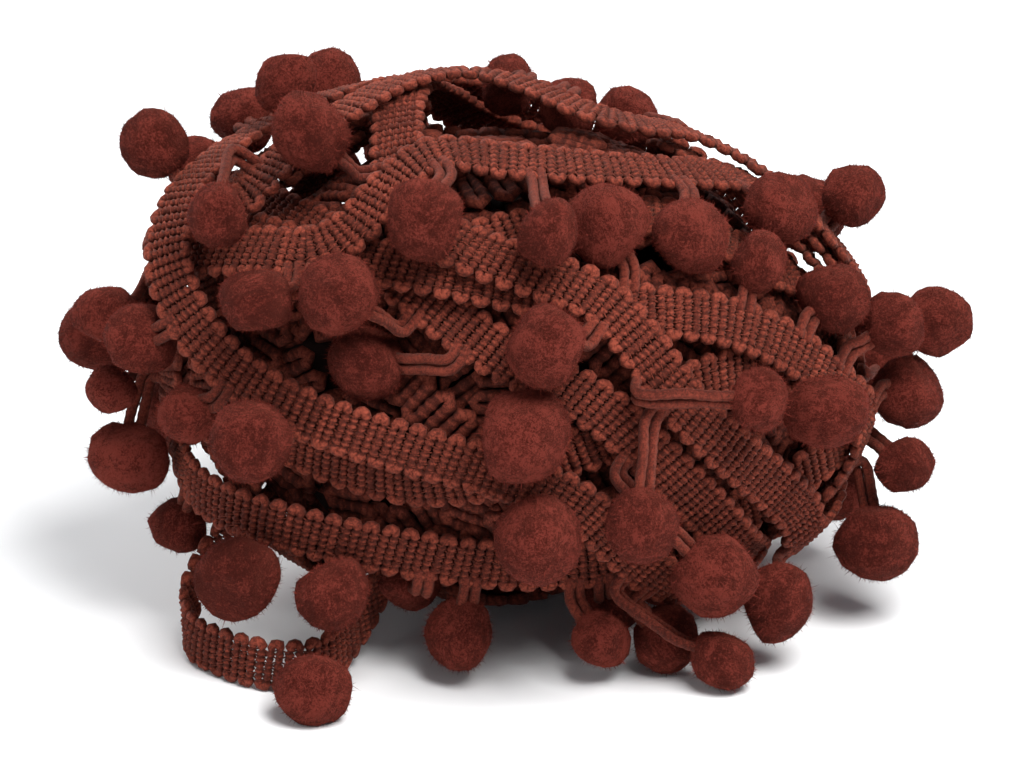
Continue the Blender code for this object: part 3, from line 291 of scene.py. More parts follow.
# Pompoms of the show side: the middle of the pompom across and up, its diameter, and where its
# loop leaves the braid across and up.
POMPOM_COLUMNS = ("across", "up", "diameter", "root_across", "root_up")
POMPOMS = [
    (-14.4, 49.0, 9.5, -13.5, 46.5),
    (-1.4, 49.9, 11.5, 0.9, 47.5),
    (8.6, 47.2, 10.5, 10.0, 45.6),
    (-37.5, 46.5, 11.5, -30.6, 39.5),
    (-56.7, 31.9, 12.0, -51.5, 29.0),
    (-73.4, 8.5, 11.0, -61.0, 8.0),
    (-72.3, -4.7, 8.5, -61.0, -4.0),
    (-36.0, 35.5, 14.5, -20.7, 30.5),
    (-16.2, 25.2, 13.2, -13.5, 30.0),
    (5.8, 22.9, 11.5, 5.4, 30.0),
    (31.5, 22.0, 14.0, 31.5, 31.0),
    (47.7, 28.3, 13.0, 45.0, 30.0),
    (59.0, 27.7, 11.5, 52.7, 30.0),
    (63.0, -1.8, 9.5, 60.0, 0.0),
    (61.2, -28.4, 10.5, 58.0, -19.0),
    (-66.6, 4.0, 13.0, -54.0, 4.0),
    (-54.0, -5.9, 11.5, -50.0, -4.0),
    (-47.3, -14.0, 15.0, -40.5, -12.0),
    (4.5, -31.3, 13.6, 8.5, -22.0),
    (43.2, -6.8, 11.5, 40.5, -6.0),
    (55.3, -9.0, 15.0, 51.3, -6.0),
    (60.3, -20.3, 10.0, 61.0, -8.0),
    (-44.5, 24.5, 11.5, -38.7, 20.0),
    (-34.2, 20.2, 12.0, -31.0, 16.0),
    (-43.7, 13.0, 13.0, -30.0, 15.0),
    (-31.0, 11.7, 14.2, -16.2, 7.9),
    (-26.1, 0.0, 14.0, -9.0, -0.5),
    (1.3, -12.8, 15.8, 9.5, -8.5),
    (5.4, 3.1, 15.0, 18.0, 8.5),
    (22.5, -28.8, 13.8, 26.5, -14.0),
    (33.8, -36.5, 14.0, 36.9, -20.5),
    (46.8, -42.8, 13.0, 45.0, -28.0),
    (52.7, -56.3, 11.0, 56.7, -40.0),
    (-35.5, -58.1, 12.0, -33.0, -52.0),
    (18.0, 22.0, 13.8, 19.8, 14.5),
    (40.5, 18.0, 10.0, 43.5, 11.0),
    (54.9, 9.4, 12.0, 52.7, 6.0),
    (68.0, 6.7, 12.0, 62.0, -1.0),
    (70.2, -18.9, 11.5, 67.0, -12.0),
    (-69.7, -17.1, 14.0, -63.9, -12.0),
    (-60.3, -29.3, 10.0, -58.0, -22.5),
    (-49.5, -38.7, 14.8, -47.7, -29.5),
    (-40.5, -33.8, 10.5, -38.7, -32.0),
    (-32.4, -41.4, 13.8, -29.7, -36.0),
    (-18.0, -38.9, 10.5, -18.0, -38.0),
    (-9.9, -48.6, 13.4, -3.6, -41.0),
    (16.7, -41.0, 13.0, 15.3, -42.5),
    (25.2, -48.2, 11.0, 24.3, -41.0),
    (36.9, -50.0, 11.0, 34.2, -38.0),
    (15.3, -48.2, 10.5, 9.0, -42.5),
]


# ---- directions and distances -----------------------------------------------------------------
def unit(v):
    """Vectors along the last axis brought to length one."""
    return v / np.maximum(np.linalg.norm(v, axis=-1, keepdims=True), 1e-9)


def square_to(v, way):
    """The part of each vector that stands square to a way, brought to length one."""
    return unit(v - np.sum(v * way, -1, keepdims=True) * way)


def run_along(points):
    """Length from the first point to each point of a line."""
    return np.concatenate([[0.0], np.cumsum(np.linalg.norm(np.diff(points, axis=0), axis=1))])


def eased(values):
    """Values round a ring, each drawn a little towards its neighbours."""
    return 0.25 * np.roll(values, 1) + 0.5 * values + 0.25 * np.roll(values, -1)


def half_radius(direction, half):
    """Distance from the middle to the ellipsoid with these half sizes, along a direction."""
    return 1.0 / np.sqrt(np.sum((direction / half) ** 2, axis=-1))


def sight_terms(flat):
    """Terms of the equation for where the line of sight through a place meets the ball."""
    return (np.sum((NEAR / BALL_HALF) ** 2), np.sum(flat * NEAR / BALL_HALF ** 2),
            np.sum((flat / BALL_HALF) ** 2))


def show_place(across, up, side):
    """Point, from the ball's middle, on its near (+1) or far (-1) side at this show place."""
    flat = across * RIGHT + up * UP
    a, b, c = sight_terms(flat)
    rim = c - b * b / a
    if rim > RIM_SHARE:
        flat = flat * np.sqrt(RIM_SHARE / rim)
        a, b, c = sight_terms(flat)
    depth = (-b + side * np.sqrt(max(b * b - a * (c - 1.0), 0.0))) / a
    return flat + depth * NEAR


def smooth_closed(points, steps=24):
    """Closed Catmull-Rom curve through points."""
    p = np.asarray(points)
    before, after, beyond = np.roll(p, 1, 0), np.roll(p, -1, 0), np.roll(p, -2, 0)
    out = []
    for t in np.arange(steps) / steps:
        out.append(0.5 * (2 * p + (after - before) * t
                          + (2 * before - 5 * p + 4 * after - beyond) * t ** 2
                          + (3 * p - before - 3 * after + beyond) * t ** 3))
    return np.stack(out, 1).reshape(-1, 3)


def spaced(curve, step):
    """Closed curve cut into equal lengths of about one step."""
    loop = np.vstack([curve, curve[:1]])
    run = run_along(loop)
    count = int(round(run[-1] / step))
    marks = np.arange(count) * run[-1] / count
    return np.stack([np.interp(marks, run, loop[:, k]) for k in range(3)], 1)


# ---- what has been laid so far, as small balls ------------------------------------------------
class Laid:
    """Small balls filling the pieces laid so far, used to lay the next piece clear of them."""

    def __init__(self):
        self.places = np.zeros((0, 3))
        self.radii = np.zeros(0)
        self.owners = np.zeros(0, dtype=int)

    def add(self, places, radius, owner):
        """Add balls of one radius for one owner."""
        self.places = np.vstack([self.places, places])
        self.radii = np.concatenate([self.radii, np.full(len(places), radius)])
        self.owners = np.concatenate([self.owners, np.full(len(places), owner)])

    def spans(self, start, direction, radius, gap, skip=()):
        """Blocked stretches (from, to) along a line for a ball of this radius."""
        keep = ~np.isin(self.owners, list(skip))
        offset = self.places[keep] - start
        along = offset @ direction
        reach = (self.radii[keep] + radius + gap) ** 2 - (np.sum(offset ** 2, 1) - along ** 2)
        hit = reach > 0
        half = np.sqrt(reach[hit])
        return along[hit] - half, along[hit] + half

    def least(self, directions, radius, gap, skip=(), only=None):
        """Least distance from the middle, along each direction, that clears all from outside."""
        keep = ~np.isin(self.owners, list(skip))
        if only is not None:
            keep &= self.owners < only
        places, radii = self.places[keep], self.radii[keep]
        out = np.zeros(len(directions))
        square = np.sum(places ** 2, 1)
        for first in range(0, len(directions), 256):
            along = directions[first:first + 256] @ places.T
            reach = (radii + radius + gap) ** 2 - (square - along ** 2)
            far = np.where((reach > 0) & (along > 0), along + np.sqrt(np.maximum(reach, 0)), 0)
            out[first:first + 256] = far.max(axis=1) if len(places) else 0
        return out

    def most(self, directions, gap):
        """Greatest distance from the middle, along each direction, that stays inside all."""
        out = np.full(len(directions), 1e9)
        square = np.sum(self.places ** 2, 1)
        for first in range(0, len(directions), 512):
            along = directions[first:first + 512] @ self.places.T
            reach = (self.radii + gap) ** 2 - (square - along ** 2)
            near = np.where((reach > 0) & (along > 0),
                            along - np.sqrt(np.maximum(reach, 0)), 1e9)
            out[first:first + 512] = near.min(axis=1)
        return out

    def chosen(self, keep):
        """The balls that a mask keeps."""
        part = Laid()
        part.places, part.radii, part.owners = self.places[keep], self.radii[keep], \
            self.owners[keep]
        return part


def nearest_free(laid, start, line, wish, radius, bounds):
    """Places along a line, next to the wished one each way, where a ball clears all laid."""
    low, high = laid.spans(start, line, radius, HANG_GAP)
    tries = np.concatenate([[wish], high + 1e-3, low - 1e-3])
    tries = tries[(tries > wish - MOST_SUNK) & (tries < wish + MOST_PROUD)]
    tries = tries[(tries >= bounds[0]) & (tries <= bounds[1])]
    free = ~((low[None] < tries[:, None]) & (tries[:, None] < high[None])).any(axis=1)
    tries = tries[free]
    found = []
    if (tries >= wish).any():
        found.append(tries[tries >= wish].min())
    if (tries < wish).any():
        found.append(tries[tries < wish].max())
    return found


def floor_bounds(start, line, radius):
    """Stretch of a line on which a pompom stays on or over the floor."""
    lowest = FLOOR_SQUASH * radius - BALL_HEIGHT - start[2]
    if line[2] > 1e-6:
        return lowest / line[2], 1e9
    if line[2] < -1e-6:
        return -1e9, lowest / line[2]
    return -1e9, 1e9


def settle(laid, options, radius):
    """Middle for a pompom: the best of several (start, line, wish, penalty, goal) options."""
    best = None
    for start, line, wish, penalty, goal in options:
        bounds = floor_bounds(start, line, radius)
        wish = min(max(wish, bounds[0]), bounds[1])
        for depth in nearest_free(laid, start, line, wish, radius, bounds):
            centre = start + line * depth
            cost = abs(depth - wish) + penalty
            astray = centre - goal
            cost += ASTRAY * np.linalg.norm(astray - (astray @ NEAR) * NEAR)
            if best is not None and cost >= best[0]:
                continue
            over = laid.least(unit(centre)[None], 0.3 * radius, 0.0, only=len(TURNS) + 1)[0]
            if over <= np.linalg.norm(centre):
                best = (cost, centre)
    return best


# ---- laying the turns -------------------------------------------------------------------------
def frame_of(points, face=0.0, upright=0.0):
    """Running direction, outward normal and width direction at each station of a closed turn."""
    along = unit(np.roll(points, -1, 0) - np.roll(points, 1, 0))
    out = unit(points / BALL_HALF ** 2)
    out = unit(out * np.array([1.0, 1.0, 1.0 - upright]))
    out = unit(out + face * np.maximum(out @ NEAR, 0.0)[:, None] ** 0.5 * NEAR)
    out = square_to(out, along)
    return along, out, np.cross(out, along)


def lay_turn(laid, path, step, base, face, upright):
    """Stations of one turn, lifted clear over all the turns it crosses."""
    points = spaced(path, step)
    directions = unit(points)
    floor = half_radius(directions, CORE_HALF) + base
    rest = np.where(directions[:, 2] < -0.05,
                    (BALL_HEIGHT - 0.7 * BRAID_WIDTH) / np.maximum(-directions[:, 2], 0.05), 1e9)
    floor = np.minimum(floor, rest)
    radii = floor.copy()
    count = len(radii)
    shares = np.array(PROBE_SHARES)
    lanes = np.linspace(-0.5, 0.5, PROBE_LANES) * (BRAID_WIDTH + PROBE_OVER)
    for _ in range(10):
        points = directions * radii[:, None]
        _, _, width = frame_of(points, face, upright)
        here = points[:, None, None] + width[:, None, None] * lanes[None, None, :, None]
        after = np.roll(here, -1, 0)
        mix = here * (1 - shares)[None, :, None, None] + after * shares[None, :, None, None]
        probe = mix.reshape(-1, 3)
        need = laid.least(unit(probe), BRAID_THICK / 2, -LAP_SINK)
        lack = (need - np.linalg.norm(probe, axis=1)).reshape(count, len(shares), len(lanes))
        lack = np.maximum(lack, 0).max(axis=2)
        rise = np.maximum(lack.max(axis=1), np.roll(lack[:, 1:].max(axis=1), 1))
        if rise.max() < CLEAR_ENOUGH:
            break
        radii = radii + RISE_SHARE * rise
        for _ in range(2):
            radii = np.maximum(radii, eased(radii))
    return directions * radii[:, None]


def fill_ribbon(points, width, low, high, closed=True, step=1.3):
    """Points filling a ribbon between two offsets across its width."""
    last = len(points) if closed else len(points) - 1
    here, there = points[:last], np.roll(points, -1, 0)[:last]
    side, beside = width[:last], np.roll(width, -1, 0)[:last]
    count = max(2, int(np.linalg.norm(there - here, axis=1).max() / step))
    lanes = np.linspace(low, high, max(2, round((high - low) / step) + 1))
    out = []
    for share in np.arange(count) / count:
        mid = here * (1 - share) + there * share
        across = side * (1 - share) + beside * share
        for lane in lanes:
            out.append(mid + across * lane)
    return np.vstack(out)


def lay_slack(laid, order):
    """The slack length standing on the floor, as a turn that is open at both ends."""
    points = np.array(SLACK) - CENTRE
    along = unit(np.gradient(points, axis=0))
    normal = unit(np.cross(along, np.array([0.0, 0.0, -1.0])))
    width = np.cross(normal, along)
    if width[len(width) // 2, 2] < 0:
        normal, width = -normal, -width
    half = BRAID_WIDTH / 2 - RIBBON_INSET
    laid.add(fill_ribbon(points, width, -half, half, False), BRAID_THICK / 2, order)
    part = slice(*SLACK_EDGED)
    laid.add(fill_ribbon(points[part] - width[part] * STRIP_OFF, width[part],
                         -STRIP_FILL, STRIP_FILL, False), STRIP_BALL, order)
    return {"order": order, "points": points, "normal": normal, "width": width, "edge": -1,
            "closed": False}


def lay_all_turns():
    """All outer turns in order, with the balls that fill them."""
    laid = Laid()
    turns = {}
    for order, (name, turn) in enumerate(TURNS.items()):
        controls = [show_place(a, u, 1) for a, u in turn["show"]]
        controls += [show_place(a, u, -1) for a, u in turn["back"]]
        base = BRAID_THICK / 2 - LAP_SINK
        step = STATION_STEP if turn["edge"] else INNER_STEP
        lean = (turn.get("face", 0.0), turn.get("upright", 0.0))
        points = lay_turn(laid, smooth_closed(controls), step, base, *lean)
        _, normal, width = frame_of(points, *lean)
        turns[name] = {"order": order, "points": points, "normal": normal, "width": width,
                       "edge": turn["edge"], "closed": True}
        half = BRAID_WIDTH / 2 - RIBBON_INSET
        laid.add(fill_ribbon(points, width, -half, half), BRAID_THICK / 2, order)
        if turn["edge"]:
            off = turn["edge"] * STRIP_OFF
            lane = fill_ribbon(points, width, off - STRIP_FILL, off + STRIP_FILL)
            laid.add(lane, STRIP_BALL, order)
    turns["slack"] = lay_slack(laid, len(TURNS))
    return laid, turns


def edged(turn):
    """Middle line, width and normal of a turn's edge strip, and whether it closes."""
    lane = turn["points"] + turn["width"] * (turn["edge"] * STRIP_OFF)
    if turn["closed"]:
        return lane, turn["width"], turn["normal"], True
    part = slice(*SLACK_EDGED)
    return lane[part], turn["width"][part], turn["normal"][part], False


def strip_places(turns):
    """Places along every edge strip where a loop may leave it."""
    rows = []
    for name, turn in turns.items():
        if not turn["edge"]:
            continue
        lane, width, normal, closed = edged(turn)
        last = len(lane) if closed else len(lane) - 1
        for share in (0.0, 0.25, 0.5, 0.75):
            places = lane * (1 - share) + np.roll(lane, -1, 0) * share
            away = width * turn["edge"]
            away = unit(away * (1 - share) + np.roll(away, -1, 0) * share)
            out = unit(normal * (1 - share) + np.roll(normal, -1, 0) * share)
            rows += [(name, turn["order"], *row)
                     for row in list(zip(places, away, out))[:last]]
    return rows


def open_roots(laid, roots, wanted, centre):
    """Strip places near the wanted one that nothing lies over, best first."""
    places = np.array([row[2] for row in roots])
    away = np.array([row[3] for row in roots])
    toward = centre - places
    side = np.sum(toward * away, 1)
    cost = (np.linalg.norm(places - wanted, axis=1) + np.linalg.norm(toward, axis=1)
            + ROOT_ASIDE * np.maximum(ROOT_AHEAD - side, 0.0))
    near = np.argsort(cost)[:ROOT_TRIES]
    open_ones = []
    for i in near:
        outer = places[i] + away[i] * ROOT_OUTER
        need = laid.least(unit(outer)[None], LOOP_WIDTH / 2, HANG_GAP, skip=(roots[i][1],))[0]
        if need - np.linalg.norm(outer) < ROOT_COVER:
            open_ones.append(roots[i])
    return open_ones


def lay_loop(laid, root, width, normal, centre, radius, owner):
    """Stations of one doubled loop from the strip to its pompom, laid over what it crosses."""
    start = root - width * LOOP_ROOT_IN
    first = root + width * LOOP_ROOT_OUT + normal * LOOP_ROOT_UP
    end = centre + unit(first - centre) * radius * LOOP_DEEP
    stations = np.array([start, first, first + (end - first) * 0.5, end])
    before = stations.copy()
    shares = LOOP_SHARES[:, None]
    for _ in range(LOOP_ROUNDS):
        stations[3] = centre + unit(stations[2] - centre) * radius * LOOP_DEEP
        probe = stations[:-1, None] + (stations[1:] - stations[:-1])[:, None] * shares
        flat = probe.reshape(-1, 3)
        need = laid.least(unit(flat), LOOP_WIDTH / 2, HANG_GAP)
        near = np.linalg.norm(flat - root, axis=1) < LOOP_OWN_REACH
        if near.any():
            need[near] = laid.least(unit(flat[near]), LOOP_WIDTH / 2, HANG_GAP, skip=(owner,))
        need[np.linalg.norm(flat - centre, axis=1) < radius] = 0.0
        need[:4] = 0.0
        lack = np.maximum(need - np.linalg.norm(flat, axis=1), 0.0).reshape(3, -1)
        rise = np.zeros(4)
        rise[1:3] = np.maximum(lack[:2].max(axis=1), lack[1:].max(axis=1))
        if rise.max() < CLEAR_ENOUGH:
            break
        stations = stations + unit(stations) * (RISE_SHARE * rise)[:, None]
        if np.linalg.norm(stations - before, axis=1).max() > MOST_LIFT:
            return None
    stations[1:, 2] = np.maximum(stations[1:, 2], 0.5 * LOOP_THICK + 0.2 - BALL_HEIGHT)
    if rise.max() > LOOP_STUCK:
        return None
    for least in (SHORT_SPAN, 0.5 * SHORT_SPAN):
        if np.linalg.norm(stations[-1] - stations[-2]) < least:
            stations = np.delete(stations, -2, axis=0)
    ways = unit(np.diff(stations, axis=0))
    bends = np.sum(ways[1:] * ways[:-1], 1)
    return stations if len(bends) == 0 or bends.min() > SHARPEST else None


def loop_frame(stations, run):
    """Width and normal directions along an open loop, starting along the strip."""
    along = unit(np.gradient(stations, axis=0))
    width = [unit(run - (run @ along[0]) * along[0])]
    for way in along[1:]:
        width.append(unit(width[-1] - (width[-1] @ way) * way))
    width = np.array(width)
    return width, unit(np.cross(along, width))


def fill_line(stations, step=1.2):
    """Points along an open line of stations."""
    out = []
    for a, b in zip(stations[:-1], stations[1:]):
        count = max(1, int(np.linalg.norm(b - a) / step))
        for k in range(count):
            out.append(a + (b - a) * k / count)
    out.append(stations[-1])
    return np.array(out)


def show_options(cell, radius):
    """Wished place on the show side, and small shifts about it."""
    hang = show_place(cell["root_across"], cell["root_up"], 1)
    shifts = [(0.0, 0.0)] + [(r * np.cos(t), r * np.sin(t)) for r in SHOW_SHIFTS
                             for t in np.arange(8) * np.pi / 4]
    goal = cell["across"] * RIGHT + cell["up"] * UP
    options = []
    for right, up in shifts:
        flat = (cell["across"] + right) * RIGHT + (cell["up"] + up) * UP
        a, b, c = sight_terms(flat)
        inside = b * b - a * (c - 1.0)
        wish = hang @ NEAR if inside < 0 else (-b + np.sqrt(inside)) / a - 0.35 * radius
        lowest = floor_bounds(flat, NEAR, radius)[0]
        if wish < lowest:
            wish = lowest
            hang = flat + wish * NEAR
        options.append((flat, NEAR, wish, 0.0, goal))
        place = flat + wish * NEAR
        options.append((np.zeros(3), unit(place), np.linalg.norm(place), 0.0, goal))
    return options, hang


def hidden_options(turn, i, radius):
    """Wished places about station i of a turn, on the side turned away."""
    lane = edged(turn)[0]
    along = np.cross(turn["normal"][i], turn["width"][i])
    options = []
    for out in HIDDEN_OUTS:
        for slide in HIDDEN_SLIDES:
            spot = lane[i] + turn["edge"] * turn["width"][i] * out + along * slide
            wish = half_radius(unit(spot), BALL_HALF) - 0.1 * radius
            penalty = 0.5 * abs(out - 9) + 0.2 * abs(slide)
            options.append((np.zeros(3), unit(spot), wish, penalty, unit(spot) * wish))
    return options, lane[i]


def hidden_pompoms(turns):
    """Stations of the side turned away that carry a pompom, by rule."""
    rows = []
    for name, turn in turns.items():
        if not turn["edge"] or not turn["closed"]:
            continue
        lane = edged(turn)[0]
        run = HIDDEN_PITCH / 2
        for i in range(len(lane)):
            run += np.linalg.norm(lane[(i + 1) % len(lane)] - lane[i])
            way = unit(lane[i])
            if way @ NEAR < HIDDEN_FROM and run > HIDDEN_PITCH and way[2] > HIDDEN_LOWEST:
                run = 0.0
                rows.append((name, i))
    return rows


def lay_pompoms(laid, turns, rng):
    """Loops and pompoms: rows of (turn, loop stations, strip direction, middle, radius)."""
    wants = []
    for row in sorted(POMPOMS, key=lambda row: -row[2]):
        cell = dict(zip(POMPOM_COLUMNS, row))
        radius = cell["diameter"] / 2
        wants.append((radius, *show_options(cell, radius), SHOW_REACH))
    for name, i in hidden_pompoms(turns):
        radius = HIDDEN_DIAMETER / 2 * rng.uniform(*HIDDEN_SIZES)
        wants.append((radius, *hidden_options(turns[name], i, radius), HIDDEN_REACH))
    roots = strip_places(turns)
    hung = []
    for number, (radius, options, wanted, longest) in enumerate(wants):
        grown = radius * (1.01 + POMPOM_UNEVEN)
        placed = settle(laid, options, grown)
        if placed is None:
            continue
        centre = placed[1]
        stations = None
        for name, order, root, away, out in open_roots(laid, roots, wanted, centre):
            if np.linalg.norm(centre - root) - radius < longest:
                stations = lay_loop(laid, root, away, out, centre, radius, order)
            if stations is not None:
                break
        if stations is None:
            continue
        hung.append((name, stations, np.cross(out, away), centre, radius))
        laid.add(centre[None], grown, POMPOM_OWNER + number)
        laid.add(fill_line(stations), LOOP_WIDTH / 2 + 0.1, POMPOM_OWNER + number)
    return hung


# ---- smooth lines through the stations --------------------------------------------------------
def flow(rows, marks, closed):
    """Smooth values between rows, at fractional row numbers."""
    count = len(rows)
    base = np.floor(marks).astype(int)
    t = (marks - base)[:, None]

    def row(step):
        at = base + step
        return rows[at % count] if closed else rows[np.clip(at, 0, count - 1)]

    a, b, c, d = row(-1), row(0), row(1), row(2)
    return 0.5 * (2 * b + (c - a) * t + (2 * a - 5 * b + 4 * c - d) * t ** 2
                  + (3 * b - a - 3 * c + d) * t ** 3)


class Course:
    """Smooth course of one length of braid: its middle line, width and normal by run."""

    def __init__(self, turn, lift=0.0):
        self.turn = turn
        self.closed = turn["closed"]
        self.points = turn["points"] + turn["normal"] * lift
        last = len(self.points) - (0 if self.closed else 1)
        self.marks = np.linspace(0, last, last * 30 + 1)
        self.run = run_along(flow(self.points, self.marks, self.closed))
        self.length = self.run[-1]

    def at(self, run):
        """Middle, width and normal at these runs along the braid."""
        wrapped = run % self.length if self.closed else np.clip(run, 0, self.length)
        marks = np.interp(wrapped, self.run, self.marks)
        middle = flow(self.points, marks, self.closed)
        width = unit(flow(self.turn["width"], marks, self.closed))
        normal = flow(self.turn["normal"], marks, self.closed)
        return middle, width, square_to(normal, width)


# ---- cords swept along a line -----------------------------------------------------------------
class Mesh:
    """Vertices, faces and the yarn values of one piece, gathered bit by bit."""

    def __init__(self):
        self.verts, self.quads, self.tris = [], [], []
        self.yarn, self.tint, self.groove = [], [], []
        self.count = 0

    def add(self, verts, quads, tris, yarn, tint, groove=0.0):
        """Add one closed form.  yarn is run along the cord and the cosine and sine round it."""
        if quads is not None:
            self.quads.append(quads + self.count)
        if tris is not None:
            self.tris.append(tris + self.count)
        self.verts.append(verts)
        self.yarn.append(yarn)
        self.tint.append(np.broadcast_to(tint, (len(verts),)))
        self.groove.append(np.broadcast_to(groove, (len(verts),)))
        self.count += len(verts)

    def finish(self, name, material):
        """The gathered forms as one object, riding on the frame."""
        mesh = bpy.data.meshes.new(name)
        verts = (np.concatenate(self.verts) + CENTRE) * MM
        quads = np.concatenate(self.quads) if self.quads else np.zeros((0, 4), int)
        tris = np.concatenate(self.tris) if self.tris else np.zeros((0, 3), int)
        loops = np.concatenate([quads.ravel(), tris.ravel()])
        sizes = np.concatenate([np.full(len(quads), 4), np.full(len(tris), 3)])
        mesh.vertices.add(len(verts))
        mesh.vertices.foreach_set("co", verts.astype(np.float32).ravel())
        mesh.loops.add(len(loops))
        mesh.loops.foreach_set("vertex_index", loops.astype(np.int32))
        mesh.polygons.add(len(sizes))
        starts = np.concatenate([[0], np.cumsum(sizes)[:-1]])
        mesh.polygons.foreach_set("loop_start", starts.astype(np.int32))
        mesh.update(calc_edges=True)
        mesh.shade_smooth()
        yarn = mesh.attributes.new("yarn", "FLOAT_VECTOR", "POINT")
        yarn.data.foreach_set("vector", np.concatenate(self.yarn).astype(np.float32).ravel())
        for label, values in (("tint", self.tint), ("groove", self.groove)):
            layer = mesh.attributes.new(label, "FLOAT", "POINT")
            layer.data.foreach_set("value", np.concatenate(values).astype(np.float32))
        mesh.materials.append(material)
        obj = bpy.data.objects.new(name, mesh)
        bpy.context.scene.collection.objects.link(obj)
        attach(obj, "root")
        return obj


def rest_above(places, least):
    """Keep places at least so far above the floor."""
    places[:, 2] = np.maximum(places[:, 2], least - BALL_HEIGHT)
    return places


def ring_faces(rings, sides, closed):
    """Quads between rings of points and, where they are open, two fans that shut the ends."""
    i = np.arange(rings if closed else rings - 1)[:, None]
    j = np.arange(sides)
    k = (j + 1) % sides
    here, there = i * sides, ((i + 1) % rings) * sides
    quads = np.stack([here + j, here + k, there + k, there + j], -1).reshape(-1, 4)
    if closed:
        return quads, None
    end, top = rings * sides, (rings - 1) * sides
    low = np.stack([k, j, np.full(sides, end)], 1)
    high = np.stack([top + j, top + k, np.full(sides, end + 1)], 1)
    return quads, np.vstack([low, high])


def sweep(mesh, path, normal, half_width, half_thick, sides, closed, tint=0.5, phase=0.0,
          groove=0.0):
    """One cord along a path: an oval section with its short way along the normal."""
    if closed:
        along = np.roll(path, -1, 0) - np.roll(path, 1, 0)
    else:
        along = np.gradient(path, axis=0)
    along = unit(along)
    side = unit(np.cross(along, normal))
    up = np.cross(side, along)
    angles = 2 * np.pi * (np.arange(sides) + phase) / sides
    wide = np.broadcast_to(half_width, (len(path),))[:, None, None]
    tall = np.broadcast_to(half_thick, (len(path),))[:, None, None]
    verts = (path[:, None] + side[:, None] * wide * np.cos(angles)[None, :, None]
             + up[:, None] * tall * np.sin(angles)[None, :, None])
    rings = len(path)
    run = run_along(path)
    yarn = np.empty((rings, sides, 3))
    yarn[..., 0] = run[:, None]
    yarn[..., 1] = np.cos(angles)
    yarn[..., 2] = np.sin(angles)
    quads, tris = ring_faces(rings, sides, closed)
    verts, yarn = verts.reshape(-1, 3), yarn.reshape(-1, 3)
    if not closed:
        verts = np.vstack([verts, path[:1], path[-1:]])
        yarn = np.vstack([yarn, [[0.0, 1.0, 0.0], [run[-1], 1.0, 0.0]]])
    spread = []
    for values in (tint, groove):
        values = np.broadcast_to(values, (rings,))
        around = np.repeat(values, sides)
        spread.append(around if closed else np.append(around, [values[0], values[-1]]))
    mesh.add(verts, quads, tris, yarn, *spread)


# ---- the woven braid --------------------------------------------------------------------------
def weft_path(course, rng, coarse, half, middle):
    """The weft cord laid to and fro: places, normals, half sizes and tints at its stations."""
    pitch, beads, swell, pinch = (COARSE_PITCH, COARSE_BEADS, COARSE_SWELL, COARSE_PINCH) \
        if coarse else (RIB_PITCH, BEADS, 1.0, PINCH)
    count = int(course.length / pitch / 2) * 2
    pitch = course.length / count
    inside = beads * 2 - 1
    across = half * (np.arange(1, inside + 1) / beads - 1)
    pinched = np.arange(1, inside + 1) % 2 == 0
    turning = np.array(WEFT_TURN[1:2] if coarse else WEFT_TURN)
    edge = half + EDGE_TURN * np.sin(np.pi * turning)
    ribs = np.arange(count)
    forward = np.where(ribs % 2 == 0, 1.0, -1.0)
    lane = np.concatenate([np.tile(across, (count, 1)), np.tile(edge, (count, 1))], 1)
    lane *= forward[:, None]
    slant = RIB_LEAN[0] * np.sin(ribs * 0.11 + rng.uniform(0, 6.28))
    slant = slant + RIB_LEAN[1] * np.sin(ribs * 0.037)
    jog = rng.normal(0, RIB_JOG, count)
    run = (ribs + 0.5 + jog)[:, None] + np.concatenate([np.zeros(inside), turning])[None]
    run = run * pitch + lane * slant[:, None]
    plump = np.tile(np.concatenate([np.where(pinched, pinch, 1.0),
                                    np.full(len(edge), TURN_PLUMP)]), (count, 1))
    plump *= np.clip(rng.normal(1.0, BEAD_UNEVEN, plump.shape), *BEAD_RANGE) * swell
    centre, width, normal = course.at(run.ravel())
    if not course.closed:
        lane[-1, inside:] = -lane[-1, inside - 1]
    bow = EDGE_CURL * (lane.ravel() / half) ** 2
    lay = rng.normal(0, BEAD_LAY, lane.size)
    places = centre + width * (lane.ravel() + middle)[:, None] + normal * (lay - bow)[:, None]
    rows = places.reshape(count, -1, 3)[:, :inside]
    ahead = np.linalg.norm(rows - np.roll(rows, -1, 0)[:, ::-1], axis=2) / pitch
    fanned = np.ones(plump.shape)
    fanned[:, :inside] = np.clip(0.5 * (ahead + np.roll(ahead, 1, 0)[:, ::-1]), *RIB_FAN)
    tint = np.repeat(np.clip(rng.normal(0.5, 0.2, count), 0, 1), inside + len(edge))
    # groove is 1 at the pinches between beads; the material paints shade there.
    groove = np.tile(np.concatenate([pinched * 1.0, np.zeros(len(edge))]), count)
    wide, tall = (plump * fanned).ravel() * WEFT_HALF[0], plump.ravel() * WEFT_HALF[1]
    return places, normal, wide, tall, tint, groove


